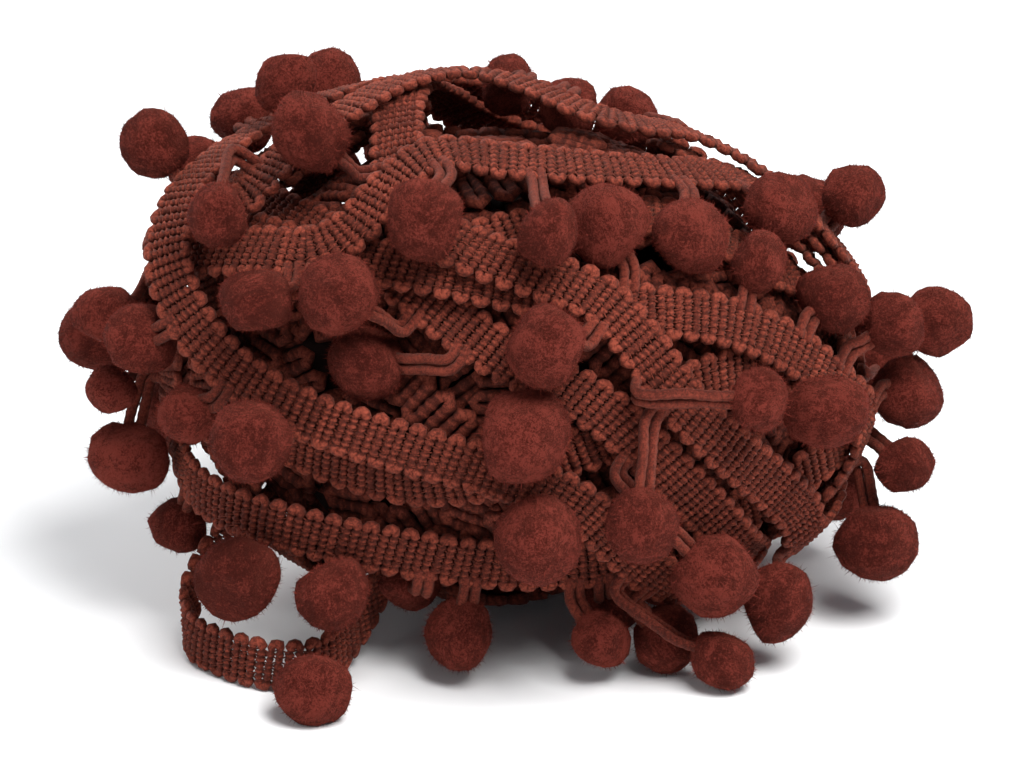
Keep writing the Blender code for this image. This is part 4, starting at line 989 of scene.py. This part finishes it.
def weave(turn, rng, coarse=False):
    """One length of braid: its weft cord and, unless it lies deep, its warp threads."""
    course = Course(turn)
    half = FULL_WIDTH / 2 - EDGE_TURN - WEFT_HALF[0] * TURN_PLUMP
    middle = turn["edge"] * (PARTING + STRIP_WIDTH) / 2
    weft = Mesh()
    path, normal, wide, tall, tint, groove = weft_path(course, rng, coarse, half, middle)
    sweep(weft, rest_above(path, WEFT_HALF[0]), normal, wide, tall,
          COARSE_SIDES if coarse else WEFT_SIDES, course.closed, tint, 0.5, groove)
    if coarse:
        return weft, None, course
    count = int(course.length / RIB_PITCH / 2) * 2
    warp = Mesh()
    steps = np.arange(count)
    centre, width, normal = course.at((steps + 0.5) * course.length / count)
    for line in range(1, BEADS):
        lane = half * (2 * line / BEADS - 1)
        over = np.where((steps + line) % 2 == 0, WARP_RISE, -WARP_RISE)
        sway = WARP_SWAY * np.sin(steps * 1.8 + line * 2.1)
        places = centre + width * (lane + middle + sway)[:, None]
        places = places + normal * (over - EDGE_CURL * (lane / half) ** 2)[:, None]
        # The low tint darkens the warp threads: painted shade in the pinches under the beads.
        sweep(warp, rest_above(places, WARP_RADIUS), normal, WARP_RADIUS, WARP_RADIUS,
              WARP_SIDES, course.closed, 0.35)
    return weft, warp, course


def inner_lengths(limit_of):
    """Closed turns packed inside the outer ones, set off by a golden angle from each other."""
    turns = []
    for number in range(INNER_TURNS):
        rise = 1 - 2 * (number + 0.5) / INNER_TURNS
        heading = number * GOLDEN_ANGLE
        flat = np.sqrt(1 - rise * rise)
        pole = np.array([0.75 * flat * np.cos(heading), flat * np.sin(heading), rise])
        pole = unit(pole + 1e-6)
        first = unit(np.cross(pole, [0.3, 0.2, 1.0]))
        second = np.cross(pole, first)
        angle = np.arange(INNER_STATIONS) * 2 * np.pi / INNER_STATIONS
        ways = unit(first * np.cos(angle)[:, None] + second * np.sin(angle)[:, None]
                    + pole * INNER_WAVE * np.sin(2 * angle + number)[:, None])
        along = unit(np.roll(ways, -1, 0) - np.roll(ways, 1, 0))
        width = unit(np.cross(ways, along))
        probes = unit(ways[:, None] + width[:, None] * np.array(INNER_LANES)[None, :, None])
        reach = eased(limit_of(probes.reshape(-1, 3)).reshape(-1, 3).min(axis=1))
        points = ways * (reach - INNER_STEP_DOWN * (number % INNER_LAYERS))[:, None]
        out = square_to(unit(points / BALL_HALF ** 2), along)
        turns.append({"points": points, "normal": out, "width": np.cross(out, along),
                      "edge": 0, "closed": True})
    return turns


def core_form(limit_of):
    """The packed middle that fills the gaps, pressed in round every pompom; its near-black colour
    is painted shade.
    """
    around, rise = CORE_GRID
    lift = -np.pi / 2 + np.pi * (np.arange(rise) + 0.5) / rise
    turn = 2 * np.pi * np.arange(around) / around
    ways = np.stack([np.cos(lift)[:, None] * np.cos(turn)[None],
                     np.cos(lift)[:, None] * np.sin(turn)[None],
                     np.sin(lift)[:, None] * np.ones(around)[None]], -1)
    reach = limit_of(ways.reshape(-1, 3)).reshape(rise, around)
    for _ in range(3):
        beside = np.minimum(np.roll(reach, 1, 1), np.roll(reach, -1, 1))
        above = np.minimum(reach[np.r_[1:rise, rise - 1]], reach[np.r_[0, 0:rise - 1]])
        reach = np.minimum(reach, 0.5 * reach + 0.5 * np.minimum(beside, above))
    reach = np.maximum(reach - CORE_DROP, CORE_LEAST)
    verts = (ways * reach[..., None]).reshape(-1, 3)
    verts = np.vstack([verts, [[0, 0, -reach[0].mean()], [0, 0, reach[-1].mean()]]])
    verts = rest_above(verts, 1.0)
    mesh = Mesh()
    # The low tint darkens the middle further: painted shade deep in the gaps.
    mesh.add(verts, *ring_faces(rise, around, False), verts * 0.6, 0.2)
    return mesh


# ---- pompoms and their loops ------------------------------------------------------------------
@lru_cache(maxsize=None)
def ball_grid(cuts):
    """Directions and triangles of a ball cut from an icosahedron."""
    bm = bmesh.new()
    bmesh.ops.create_icosphere(bm, subdivisions=cuts, radius=1.0)
    verts = np.array([v.co[:] for v in bm.verts])
    tris = np.array([[v.index for v in f.verts] for f in bm.faces])
    bm.free()
    return unit(verts), tris


def lumps(ways, rng, waves, count):
    """Smooth unevenness over directions: a sum of slow waves."""
    total = np.zeros(len(ways))
    for _ in range(count):
        pole = unit(rng.normal(size=3))
        total += rng.uniform(0.4, 1.0) * np.sin(waves * (ways @ pole) + rng.uniform(0, 6.28))
    return total / np.sqrt(count)


def felt_pompom(mesh, centre, radius, axis, rng):
    """One felted ball with its brushed surface and stray hairs."""
    ways, tris = ball_grid(BALL_CUTS)
    side = unit(np.cross(axis, [0.31, 0.2, 0.93]))
    up = np.cross(axis, side)
    stretch = 1.05 + rng.uniform(*BALL_SWELL, 3)
    local = ways * stretch
    form = np.ones(len(ways))
    for depth, fineness, count in BALL_LUMPS:
        form += depth * lumps(ways, rng, fineness, count)
    form += rng.normal(0, FELT_ROUGH, len(ways))
    for _ in range(rng.integers(*FLATS)):
        pole = unit(rng.normal(size=3))
        depth = rng.uniform(*FLAT_DEPTH)
        flat = depth / np.maximum(ways @ pole, 1e-3)
        pressed = (1 - FLAT_SHARE) * form + FLAT_SHARE * flat
        form = np.where(ways @ pole > 0.2, np.minimum(form, pressed), form)
    dent = unit(rng.normal(size=3))
    form -= DENT_DEPTH * np.exp(-(1 - ways @ dent) / DENT_SIZE)
    local = local * form[:, None]
    turned = local[:, :1] * axis + local[:, 1:2] * side + local[:, 2:] * up
    verts = rest_above(centre + turned * radius, 0.15)
    tint = float(np.clip(rng.normal(0.5, 0.2), 0, 1))
    grain = local * radius + rng.uniform(-60, 60, 3)
    mesh.add(verts, None, tris, grain, tint)

    hairs = int(HAIRS * (radius / 7.0) ** 2)
    pick = rng.integers(0, len(tris), hairs)
    mix = rng.dirichlet([1, 1, 1], hairs)
    root = np.einsum("hk,hkc->hc", mix, verts[tris[pick]])
    out = unit(root - centre)
    lean = unit(out + HAIR_LEAN * rng.normal(size=(hairs, 3)))
    lean = np.where(np.sum(lean * out, 1, keepdims=True) > 0.1, lean, out)
    length = rng.gamma(*HAIR_SPREAD, hairs)[:, None]
    across = unit(np.cross(lean, rng.normal(size=(hairs, 3)))) * HAIR_HALF
    tips = root + lean * length
    root = root - out * HAIR_ROOT
    hair = rest_above(np.stack([root - across, root + across, tips], 1).reshape(-1, 3), 0.05)
    grain = np.repeat(grain[tris[pick][:, 0]], 3, axis=0)
    # The hairs get a lighter tone: a painted highlight, the bright haze of lit fibres.
    mesh.add(hair, None, np.arange(hairs * 3).reshape(-1, 3), grain, 0.5 * tint + 0.6)


def loop_cords(mesh, stations, run, centre, radius, rng):
    """The two cords of one loop, from inside the braid's edge into the pompom."""
    side, face = loop_frame(stations, run)
    inward = stations[0] - unit(stations[1] - stations[0]) * CORD_ROOT
    heart = centre + unit(stations[-1] - centre) * radius * CORD_END
    rows = np.vstack([inward[None], stations[1:], heart[None]])
    side, face = np.vstack([side, side[-1:]]), np.vstack([face, face[-1:]])
    length = np.linalg.norm(np.diff(rows, axis=0), axis=1).sum()
    count = max(8, int(length / CORD_STEP))
    marks = np.linspace(0, len(rows) - 1 - 1e-6, count)
    line = flow(rows, marks, False)
    across = unit(flow(side, marks, False))
    normal = unit(flow(face, marks, False))
    along = np.linspace(0, length, count)
    closing = (along / length - CORD_CLOSE_SPAN[0]) / CORD_CLOSE_SPAN[1]
    spread = CORD_APART - CORD_CLOSE * np.clip(closing, 0, 1)
    bulge = 2 * np.pi * along / CORD_PLUMP_PITCH + rng.uniform(0, 6.28)
    bulge = CORD_PLUMP[0] + CORD_PLUMP[1] * np.sin(bulge)
    tint = float(np.clip(rng.normal(0.5, 0.15), 0, 1))
    for way in (-1, 1):
        aside = CORD_WANDER * np.sin(along * 0.55 + rng.uniform(0, 6.28))
        lifted = CORD_WANDER * np.sin(along * 0.8 + rng.uniform(0, 6.28))
        path = line + across * (way * spread + aside)[:, None] + normal * lifted[:, None]
        wide, tall = CORD_HALF[0] * bulge, CORD_HALF[1] * bulge
        sweep(mesh, rest_above(path, CORD_HALF[0]), normal, wide, tall, CORD_SIDES, False, tint)


# ---- finishes ---------------------------------------------------------------------------------
def add_node(tree, kind, links=None, **values):
    """One node with its properties and sockets set; links maps a socket to what feeds it."""
    made = tree.nodes.new(kind)
    for key, value in values.items():
        if hasattr(made, key):
            setattr(made, key, value)
        else:
            made.inputs[key.replace("_", " ")].default_value = value
    for key, source in (links or {}).items():
        tree.links.new(source, made.inputs[key])
    return made


def maths(tree, operation, first, second=None, third=None):
    """One Math node's value, from sockets or numbers."""
    made = tree.nodes.new("ShaderNodeMath")
    made.operation = operation
    for index, value in enumerate((first, second, third)):
        if value is None:
            continue
        if isinstance(value, (int, float)):
            made.inputs[index].default_value = value
        else:
            tree.links.new(value, made.inputs[index])
    return made.outputs[0]


def shader_group(name, inputs, outputs):
    """An empty node group with named sockets."""
    group = bpy.data.node_groups.new(name, "ShaderNodeTree")
    for label, kind, value in inputs:
        socket = group.interface.new_socket(label, in_out="INPUT", socket_type=kind)
        if value is not None:
            socket.default_value = value
    for label, kind in outputs:
        group.interface.new_socket(label, in_out="OUTPUT", socket_type=kind)
    return group, group.nodes.new("NodeGroupInput"), group.nodes.new("NodeGroupOutput")


@lru_cache(maxsize=None)
def twisted_ply():
    """Strands running round a cord: where they stand up and where they part."""
    group, given, out = shader_group("twisted_ply", [
        ("Yarn", "NodeSocketVector", None), ("Pitch", "NodeSocketFloat", 1.0),
        ("Strands", "NodeSocketFloat", 2.0)], [("Strand", "NodeSocketFloat")])
    split = add_node(group, "ShaderNodeSeparateXYZ", {0: given.outputs["Yarn"]})
    turn = maths(group, "ARCTAN2", split.outputs[2], split.outputs[1])
    run = maths(group, "DIVIDE", split.outputs[0], given.outputs["Pitch"])
    angle = maths(group, "MULTIPLY", run, 6.28318)
    angle = maths(group, "MULTIPLY_ADD", turn, given.outputs["Strands"], angle)
    wave = maths(group, "MULTIPLY_ADD", maths(group, "SINE", angle), 0.5, 0.5)
    group.links.new(maths(group, "POWER", wave, 0.6), out.inputs["Strand"])
    return group


@lru_cache(maxsize=None)
def loose_fibre():
    """Fine fibres lying on yarn or felt: a fleck for colour and a height for relief."""
    group, given, out = shader_group("loose_fibre", [
        ("Place", "NodeSocketVector", None), ("Scale", "NodeSocketFloat", 1.0)],
        [("Fleck", "NodeSocketFloat"), ("Height", "NodeSocketFloat")])
    scaled = add_node(group, "ShaderNodeVectorMath", {0: given.outputs["Place"]},
                      operation="SCALE")
    group.links.new(given.outputs["Scale"], scaled.inputs["Scale"])
    bent = add_node(group, "ShaderNodeTexNoise", {"Vector": scaled.outputs[0]},
                    Scale=0.9, Detail=2.0, Roughness=0.55)
    moved = add_node(group, "ShaderNodeVectorMath",
                     {0: bent.outputs["Color"], 2: scaled.outputs[0]},
                     operation="MULTIPLY_ADD")
    moved.inputs[1].default_value = (1.2, 1.2, 1.2)
    fine = add_node(group, "ShaderNodeTexNoise", {"Vector": moved.outputs[0]},
                    Scale=3.2, Detail=5.0, Roughness=0.7)
    hairs = maths(group, "ABSOLUTE", maths(group, "SUBTRACT", fine.outputs[0], 0.5))
    ridge = maths(group, "SUBTRACT", 1.0, maths(group, "MULTIPLY", hairs, 5.0))
    ridge = maths(group, "MAXIMUM", ridge, 0.0)
    group.links.new(fine.outputs[0], out.inputs["Fleck"])
    group.links.new(ridge, out.inputs["Height"])
    return group


def grouped(tree, group, links, **values):
    """A node group placed in a material, with its own values."""
    made = tree.nodes.new("ShaderNodeGroup")
    made.node_tree = group
    for key, value in values.items():
        made.inputs[key].default_value = value
    for key, source in links.items():
        tree.links.new(source, made.inputs[key])
    return made


def dye_with_painted_light(tree, tones, masks):
    """Base colour from a dark, a middle and a light tone, mixed by a mask that carries the yarn's
    own uneven colour, painted shade and painted highlight.
    """
    ramp = tree.nodes.new("ShaderNodeValToRGB")
    stops = ramp.color_ramp.elements
    stops[0].position, stops[1].position = TONE_STOPS[0], TONE_STOPS[2]
    stops[0].color, stops[1].color = (*tones[0], 1), (*tones[2], 1)
    middle = stops.new(TONE_STOPS[1])
    middle.color = (*tones[1], 1)
    tree.links.new(masks, ramp.inputs[0])
    return ramp.outputs[0]


def tones_of(colour, spread):
    """Dark, middle and light tones of a dye."""
    colour = np.array(colour[:3])
    return [tuple(colour / spread), tuple(colour), tuple(colour * spread * LIGHT_WARMTH)]


def varied(tree, swings, **values):
    """A mask about a half, swung by each value about its mean and by its share."""
    mask = 0.5
    for key, (mean, share) in swings.items():
        swing = maths(tree, "SUBTRACT", values[key], mean)
        mask = maths(tree, "MULTIPLY_ADD", swing, share, mask)
    return mask


def soft_finish(name, colour, sheen, sheen_rough, specular, haze):
    """What yarn and felt have in common: material, shader, and the yarn and tint values."""
    material = bpy.data.materials.new(name)
    material.use_nodes = True
    material.diffuse_color = (*colour[:3], 1)
    tree = material.node_tree
    shader = tree.nodes["Principled BSDF"]
    shader.inputs["Specular IOR Level"].default_value = specular
    shader.inputs["Sheen Weight"].default_value = sheen
    shader.inputs["Sheen Roughness"].default_value = sheen_rough
    shader.inputs["Sheen Tint"].default_value = (*haze, 1.0)
    yarn = add_node(tree, "ShaderNodeAttribute", attribute_name="yarn")
    tint = add_node(tree, "ShaderNodeAttribute", attribute_name="tint")
    return material, shader, yarn.outputs["Vector"], tint.outputs["Fac"]


def colour_and_relief(tree, shader, colour, height, strength, deep):
    """Feed the shader's colour, and its normal from a height."""
    tree.links.new(colour, shader.inputs["Base Color"])
    bump = add_node(tree, "ShaderNodeBump", {"Height": height}, Strength=strength,
                    Distance=deep)
    tree.links.new(bump.outputs["Normal"], shader.inputs["Normal"])


def yarn_finish(name, colour, pitch, sheen, ply=0.25, relief=0.5):
    """Dyed spun yarn: two twisted strands, flecks, painted shade in the pinches and on the cords'
    flanks, and a soft sheen.
    """
    material, shader, yarn, tint = soft_finish(name, colour, sheen, **YARN_LOOK)
    tree = material.node_tree
    place = add_node(tree, "ShaderNodeTexCoord")
    twist = grouped(tree, twisted_ply(), {"Yarn": yarn}, Pitch=pitch, Strands=2.0)
    fibre, patch = (grouped(tree, loose_fibre(), {"Place": place.outputs["Object"]}, Scale=fine)
                    for fine in (YARN_FIBRE, YARN_PATCH))
    # groove: painted shade in the pinches between the beads.
    groove = add_node(tree, "ShaderNodeAttribute", attribute_name="groove")
    around = add_node(tree, "ShaderNodeSeparateXYZ", {0: yarn})
    # beside: painted shade on each cord's flanks, where it meets its neighbours.
    beside = maths(tree, "POWER", maths(tree, "ABSOLUTE", around.outputs[1]), 3.0)
    mask = varied(tree, {"strand": (STRAND_MEAN, ply), **YARN_SWINGS},
                  strand=twist.outputs["Strand"], fleck=fibre.outputs["Fleck"], tint=tint,
                  patch=patch.outputs["Fleck"], groove=groove.outputs["Fac"], side=beside)
    height = maths(tree, "MULTIPLY", twist.outputs["Strand"], ply)
    height = maths(tree, "MULTIPLY_ADD", fibre.outputs["Height"], 0.6, height)
    colour_and_relief(tree, shader, dye_with_painted_light(tree, tones_of(colour, YARN_SPREAD), mask), height,
                   relief, YARN_DEEP)
    rough = maths(tree, "MULTIPLY_ADD", fibre.outputs["Fleck"], 0.3, 0.62)
    tree.links.new(rough, shader.inputs["Roughness"])
    return material


def felt_finish(name, colour, sheen):
    """Brushed felted wool: streaks along the grain, specks of shadow and a fine haze."""
    material, shader, grain, tint = soft_finish(name, colour, sheen, **FELT_LOOK)
    tree = material.node_tree
    stretched = add_node(tree, "ShaderNodeVectorMath", {0: grain}, operation="MULTIPLY")
    stretched.inputs[1].default_value = FELT_GRAIN
    streak = grouped(tree, loose_fibre(), {"Place": stretched.outputs[0]}, Scale=FELT_STREAK)
    fuzz = grouped(tree, loose_fibre(), {"Place": grain}, Scale=FELT_FUZZ)
    cloud = grouped(tree, loose_fibre(), {"Place": grain}, Scale=FELT_CLOUD)
    mask = varied(tree, FELT_SWINGS, streak=streak.outputs["Fleck"], tint=tint,
                  fuzz=fuzz.outputs["Fleck"], cloud=cloud.outputs["Fleck"])
    height = maths(tree, "MULTIPLY_ADD", streak.outputs["Height"], 0.8,
                   fuzz.outputs["Height"])
    colour_and_relief(tree, shader, dye_with_painted_light(tree, tones_of(colour, FELT_SPREAD), mask), height,
                   FELT_RELIEF, FELT_DEEP)
    shader.inputs["Roughness"].default_value = FELT_ROUGHNESS
    return material


# ---- the ball as laid -------------------------------------------------------------------------
@lru_cache(maxsize=None)
def laid_ball():
    """Every turn, every hung pompom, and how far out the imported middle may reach."""
    laid, turns = lay_all_turns()
    hung = lay_pompoms(laid, turns, np.random.default_rng(SEED))
    hanging = laid.chosen(laid.owners >= POMPOM_OWNER)
    over = laid.chosen(laid.owners < POMPOM_OWNER)

    def limit_of(ways):
        reach = half_radius(ways, BALL_HALF) - INNER_SINK
        reach = np.minimum(reach, over.most(ways, UNDER_GAP))
        low = np.maximum(-ways[:, 2], 1e-3)
        reach = np.where(ways[:, 2] < 0, np.minimum(reach, (BALL_HEIGHT - 1.5) / low), reach)
        return np.maximum(np.minimum(reach, hanging.most(ways, 0.3)), REACH_LEAST)

    return turns, hung, limit_of


class BraidSizes(bpy.types.PropertyGroup):
    """The heading braid's yarn."""

    colour: FloatVectorProperty(name="Colour", description="Dye of the braid", size=3,
                                subtype="COLOR", default=(0.134, 0.0232, 0.0124))
    sheen: FloatProperty(name="Sheen", description="Soft shine of the braid's yarn",
                         subtype="FACTOR", default=0.085)


class FringeSizes(bpy.types.PropertyGroup):
    """The pompoms' wool and the cords they hang on."""

    colour: FloatVectorProperty(name="Pompom colour", description="Dye of the felted wool",
                                size=3, subtype="COLOR", default=(0.100, 0.0152, 0.0102))
    cord_colour: FloatVectorProperty(name="Cord colour", description="Dye of the loop cords",
                                     size=3, subtype="COLOR", default=(0.104, 0.0165, 0.0090))
    sheen: FloatProperty(name="Haze", description="Pale haze of the wool's loose fibres",
                         subtype="FACTOR", default=0.12)


class StageSizes(bpy.types.PropertyGroup):
    """Light, floor and camera."""

    key: FloatProperty(name="Main light", description="Strength of the soft light above",
                       unit="POWER", default=36.0)
    sky: FloatProperty(name="Surround", description="Strength of the light all round",
                       default=0.25)
    distance: FloatProperty(name="Camera distance", description="From the ball's middle",
                            unit="LENGTH", default=2.4)


class TRIM_OT_inner(bpy.types.Operator):
    """Pack the middle of the ball and its inner turns, both darkened as painted shade"""

    bl_idname = "trim.inner"
    bl_label = "Pack the inner turns"

    def execute(self, context):
        rng = np.random.default_rng(SEED + 1)
        colour = np.array(context.scene.trim_braid.colour)
        _, _, limit_of = laid_ball()
        # The middle's yarn is the braid's colour darkened to near-black: painted shade deep in
        # the gaps between the turns.
        dark = yarn_finish("inner_yarn", colour * 0.15, 1.0, 0.0)
        core = core_form(limit_of).finish("packed_middle", dark)
        inner = Mesh()
        # The buried turns' yarn is the braid's colour darkened: painted shade, as they lie deep
        # under the outer turns.
        shaded_inner_yarn = yarn_finish("inner_braid_yarn", colour * 0.75, 1.1, 0.02)
        for turn in inner_lengths(limit_of):
            weft, _, _ = weave(turn, rng, coarse=True)
            inner.add(weft.verts[0], weft.quads[0], None, weft.yarn[0], weft.tint[0],
                      weft.groove[0])
        packed = inner.finish("inner_braid", shaded_inner_yarn)
        for piece in (core, packed):
            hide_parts("wound_braid")
        return {"FINISHED"}


class TRIM_OT_braid(bpy.types.Operator):
    """Weave the outer turns of heading braid and the slack length on the floor"""

    bl_idname = "trim.braid"
    bl_label = "Weave the outer turns"

    def execute(self, context):
        rng = np.random.default_rng(SEED + 2)
        sizes = context.scene.trim_braid
        weft_yarn = yarn_finish("weft_yarn", sizes.colour, 1.15, sizes.sheen)
        # The warp yarn is the braid's colour darkened: painted shade, as the warp lies down in
        # the pinches.
        warp_yarn = yarn_finish("warp_yarn", np.array(sizes.colour) * 0.8, 0.6, sizes.sheen)
        turns, _, _ = laid_ball()
        for name, turn in turns.items():
            weft, warp, course = weave(turn, rng)
            cloth = weft.finish(f"braid_{name}", weft_yarn)
            threads = warp.finish(f"warp_{name}", warp_yarn)
            for piece in (cloth, threads):
                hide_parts("wound_braid")
        return {"FINISHED"}


class TRIM_OT_fringe(bpy.types.Operator):
    """Hang the felted pompoms from the braid's edge on their doubled cords"""

    bl_idname = "trim.fringe"
    bl_label = "Hang the pompoms"

    def execute(self, context):
        rng = np.random.default_rng(SEED + 3)
        sizes = context.scene.trim_fringe
        felt = felt_finish("felted_wool", sizes.colour, sizes.sheen)
        cord = yarn_finish("loop_cord", sizes.cord_colour, 1.3, sizes.sheen, 0.12, 0.7)
        turns, hung, _ = laid_ball()
        for name in turns:
            rows = [row for row in hung if row[0] == name]
            if not rows:
                continue
            balls, cords = Mesh(), Mesh()
            for _, stations, run, centre, radius in rows:
                axis = unit(centre - stations[-1])
                felt_pompom(balls, centre, radius, axis, rng)
                loop_cords(cords, stations, run, centre, radius, rng)
            for piece in (balls.finish(f"pompoms_{name}", felt),
                          cords.finish(f"loops_{name}", cord)):
                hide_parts(f"fringe_{name}")
        return {"FINISHED"}


class TRIM_OT_stage(bpy.types.Operator):
    """Set the pale floor, the soft lights and the camera"""

    bl_idname = "trim.stage"
    bl_label = "Set the stage"

    def execute(self, context):
        scene = context.scene
        sizes = scene.trim_stage
        mesh = bpy.data.meshes.new("floor")
        reach = FLOOR_REACH
        mesh.from_pydata([(-reach, -reach, 0), (reach, -reach, 0), (reach, reach, 0),
                          (-reach, reach, 0)], [], [(0, 1, 2, 3)])
        floor = bpy.data.objects.new("floor", mesh)
        scene.collection.objects.link(floor)
        paint = bpy.data.materials.new("pale_floor")
        paint.use_nodes = True
        shader = paint.node_tree.nodes["Principled BSDF"]
        shader.inputs["Base Color"].default_value = FLOOR_PAINT
        shader.inputs["Roughness"].default_value = FLOOR_ROUGHNESS
        mesh.materials.append(paint)

        world = bpy.data.worlds.new("studio")
        scene.world = world
        world.use_nodes = True
        sky = world.node_tree.nodes["Background"]
        sky.inputs["Color"].default_value = SKY_COLOUR
        sky.inputs["Strength"].default_value = sizes.sky

        middle = CENTRE * MM
        for name, place, size, share in LIGHTS:
            lamp = bpy.data.lights.new(name, "AREA")
            lamp.size = size
            lamp.energy = sizes.key * share
            light = bpy.data.objects.new(name, lamp)
            light.location = place
            aim(light, middle)
            scene.collection.objects.link(light)

        lens = bpy.data.cameras.new("camera")
        lens.sensor_width = SENSOR
        lens.lens = SENSOR * sizes.distance / (FRAME_PIXELS * PIXEL * MM)
        lens.shift_x, lens.shift_y = (step / FRAME_PIXELS for step in FRAME_SHIFT)
        lens.clip_start = 0.01
        camera = bpy.data.objects.new("camera", lens)
        camera.location = middle + NEAR * sizes.distance
        aim(camera, middle)
        scene.collection.objects.link(camera)
        scene.camera = camera
        scene.view_settings.view_transform = "Standard"
        return {"FINISHED"}


def aim(obj, target):
    """Turn a light or camera to look at a place."""
    way = Vector(target) - obj.location
    obj.rotation_euler = way.to_track_quat("-Z", "Y").to_euler()


class TRIM_PT_panel(bpy.types.Panel):
    """Pompom fringe trim in the sidebar"""

    bl_label = "Pompom fringe trim"
    bl_idname = "TRIM_PT_panel"
    bl_space_type = "VIEW_3D"
    bl_region_type = "UI"
    bl_category = "Trim"

    def draw(self, context):
        scene = context.scene
        for group in (scene.trim_braid, scene.trim_fringe, scene.trim_stage):
            box = self.layout.box()
            for key in group.__annotations__:
                box.prop(group, key)
        for step in STEPS:
            self.layout.operator(step.bl_idname)


STEPS = (TRIM_OT_inner, TRIM_OT_braid, TRIM_OT_fringe, TRIM_OT_stage)
GROUPS = {"trim_braid": BraidSizes, "trim_fringe": FringeSizes, "trim_stage": StageSizes}


def register():
    """Make the sizes, the steps and the panel known."""
    for made in (*GROUPS.values(), *STEPS, TRIM_PT_panel):
        bpy.utils.register_class(made)
    for name, made in GROUPS.items():
        setattr(bpy.types.Scene, name, PointerProperty(type=made))


def unregister():
    """Take them away again."""
    for name in GROUPS:
        delattr(bpy.types.Scene, name)
    for made in reversed((*GROUPS.values(), *STEPS, TRIM_PT_panel)):
        bpy.utils.unregister_class(made)


def main():
    """Build every piece in order."""
    register()
    bpy.ops.trim.inner()
    bpy.ops.trim.braid()
    bpy.ops.trim.fringe()
    bpy.ops.trim.stage()


if __name__ == "__main__":
    main()
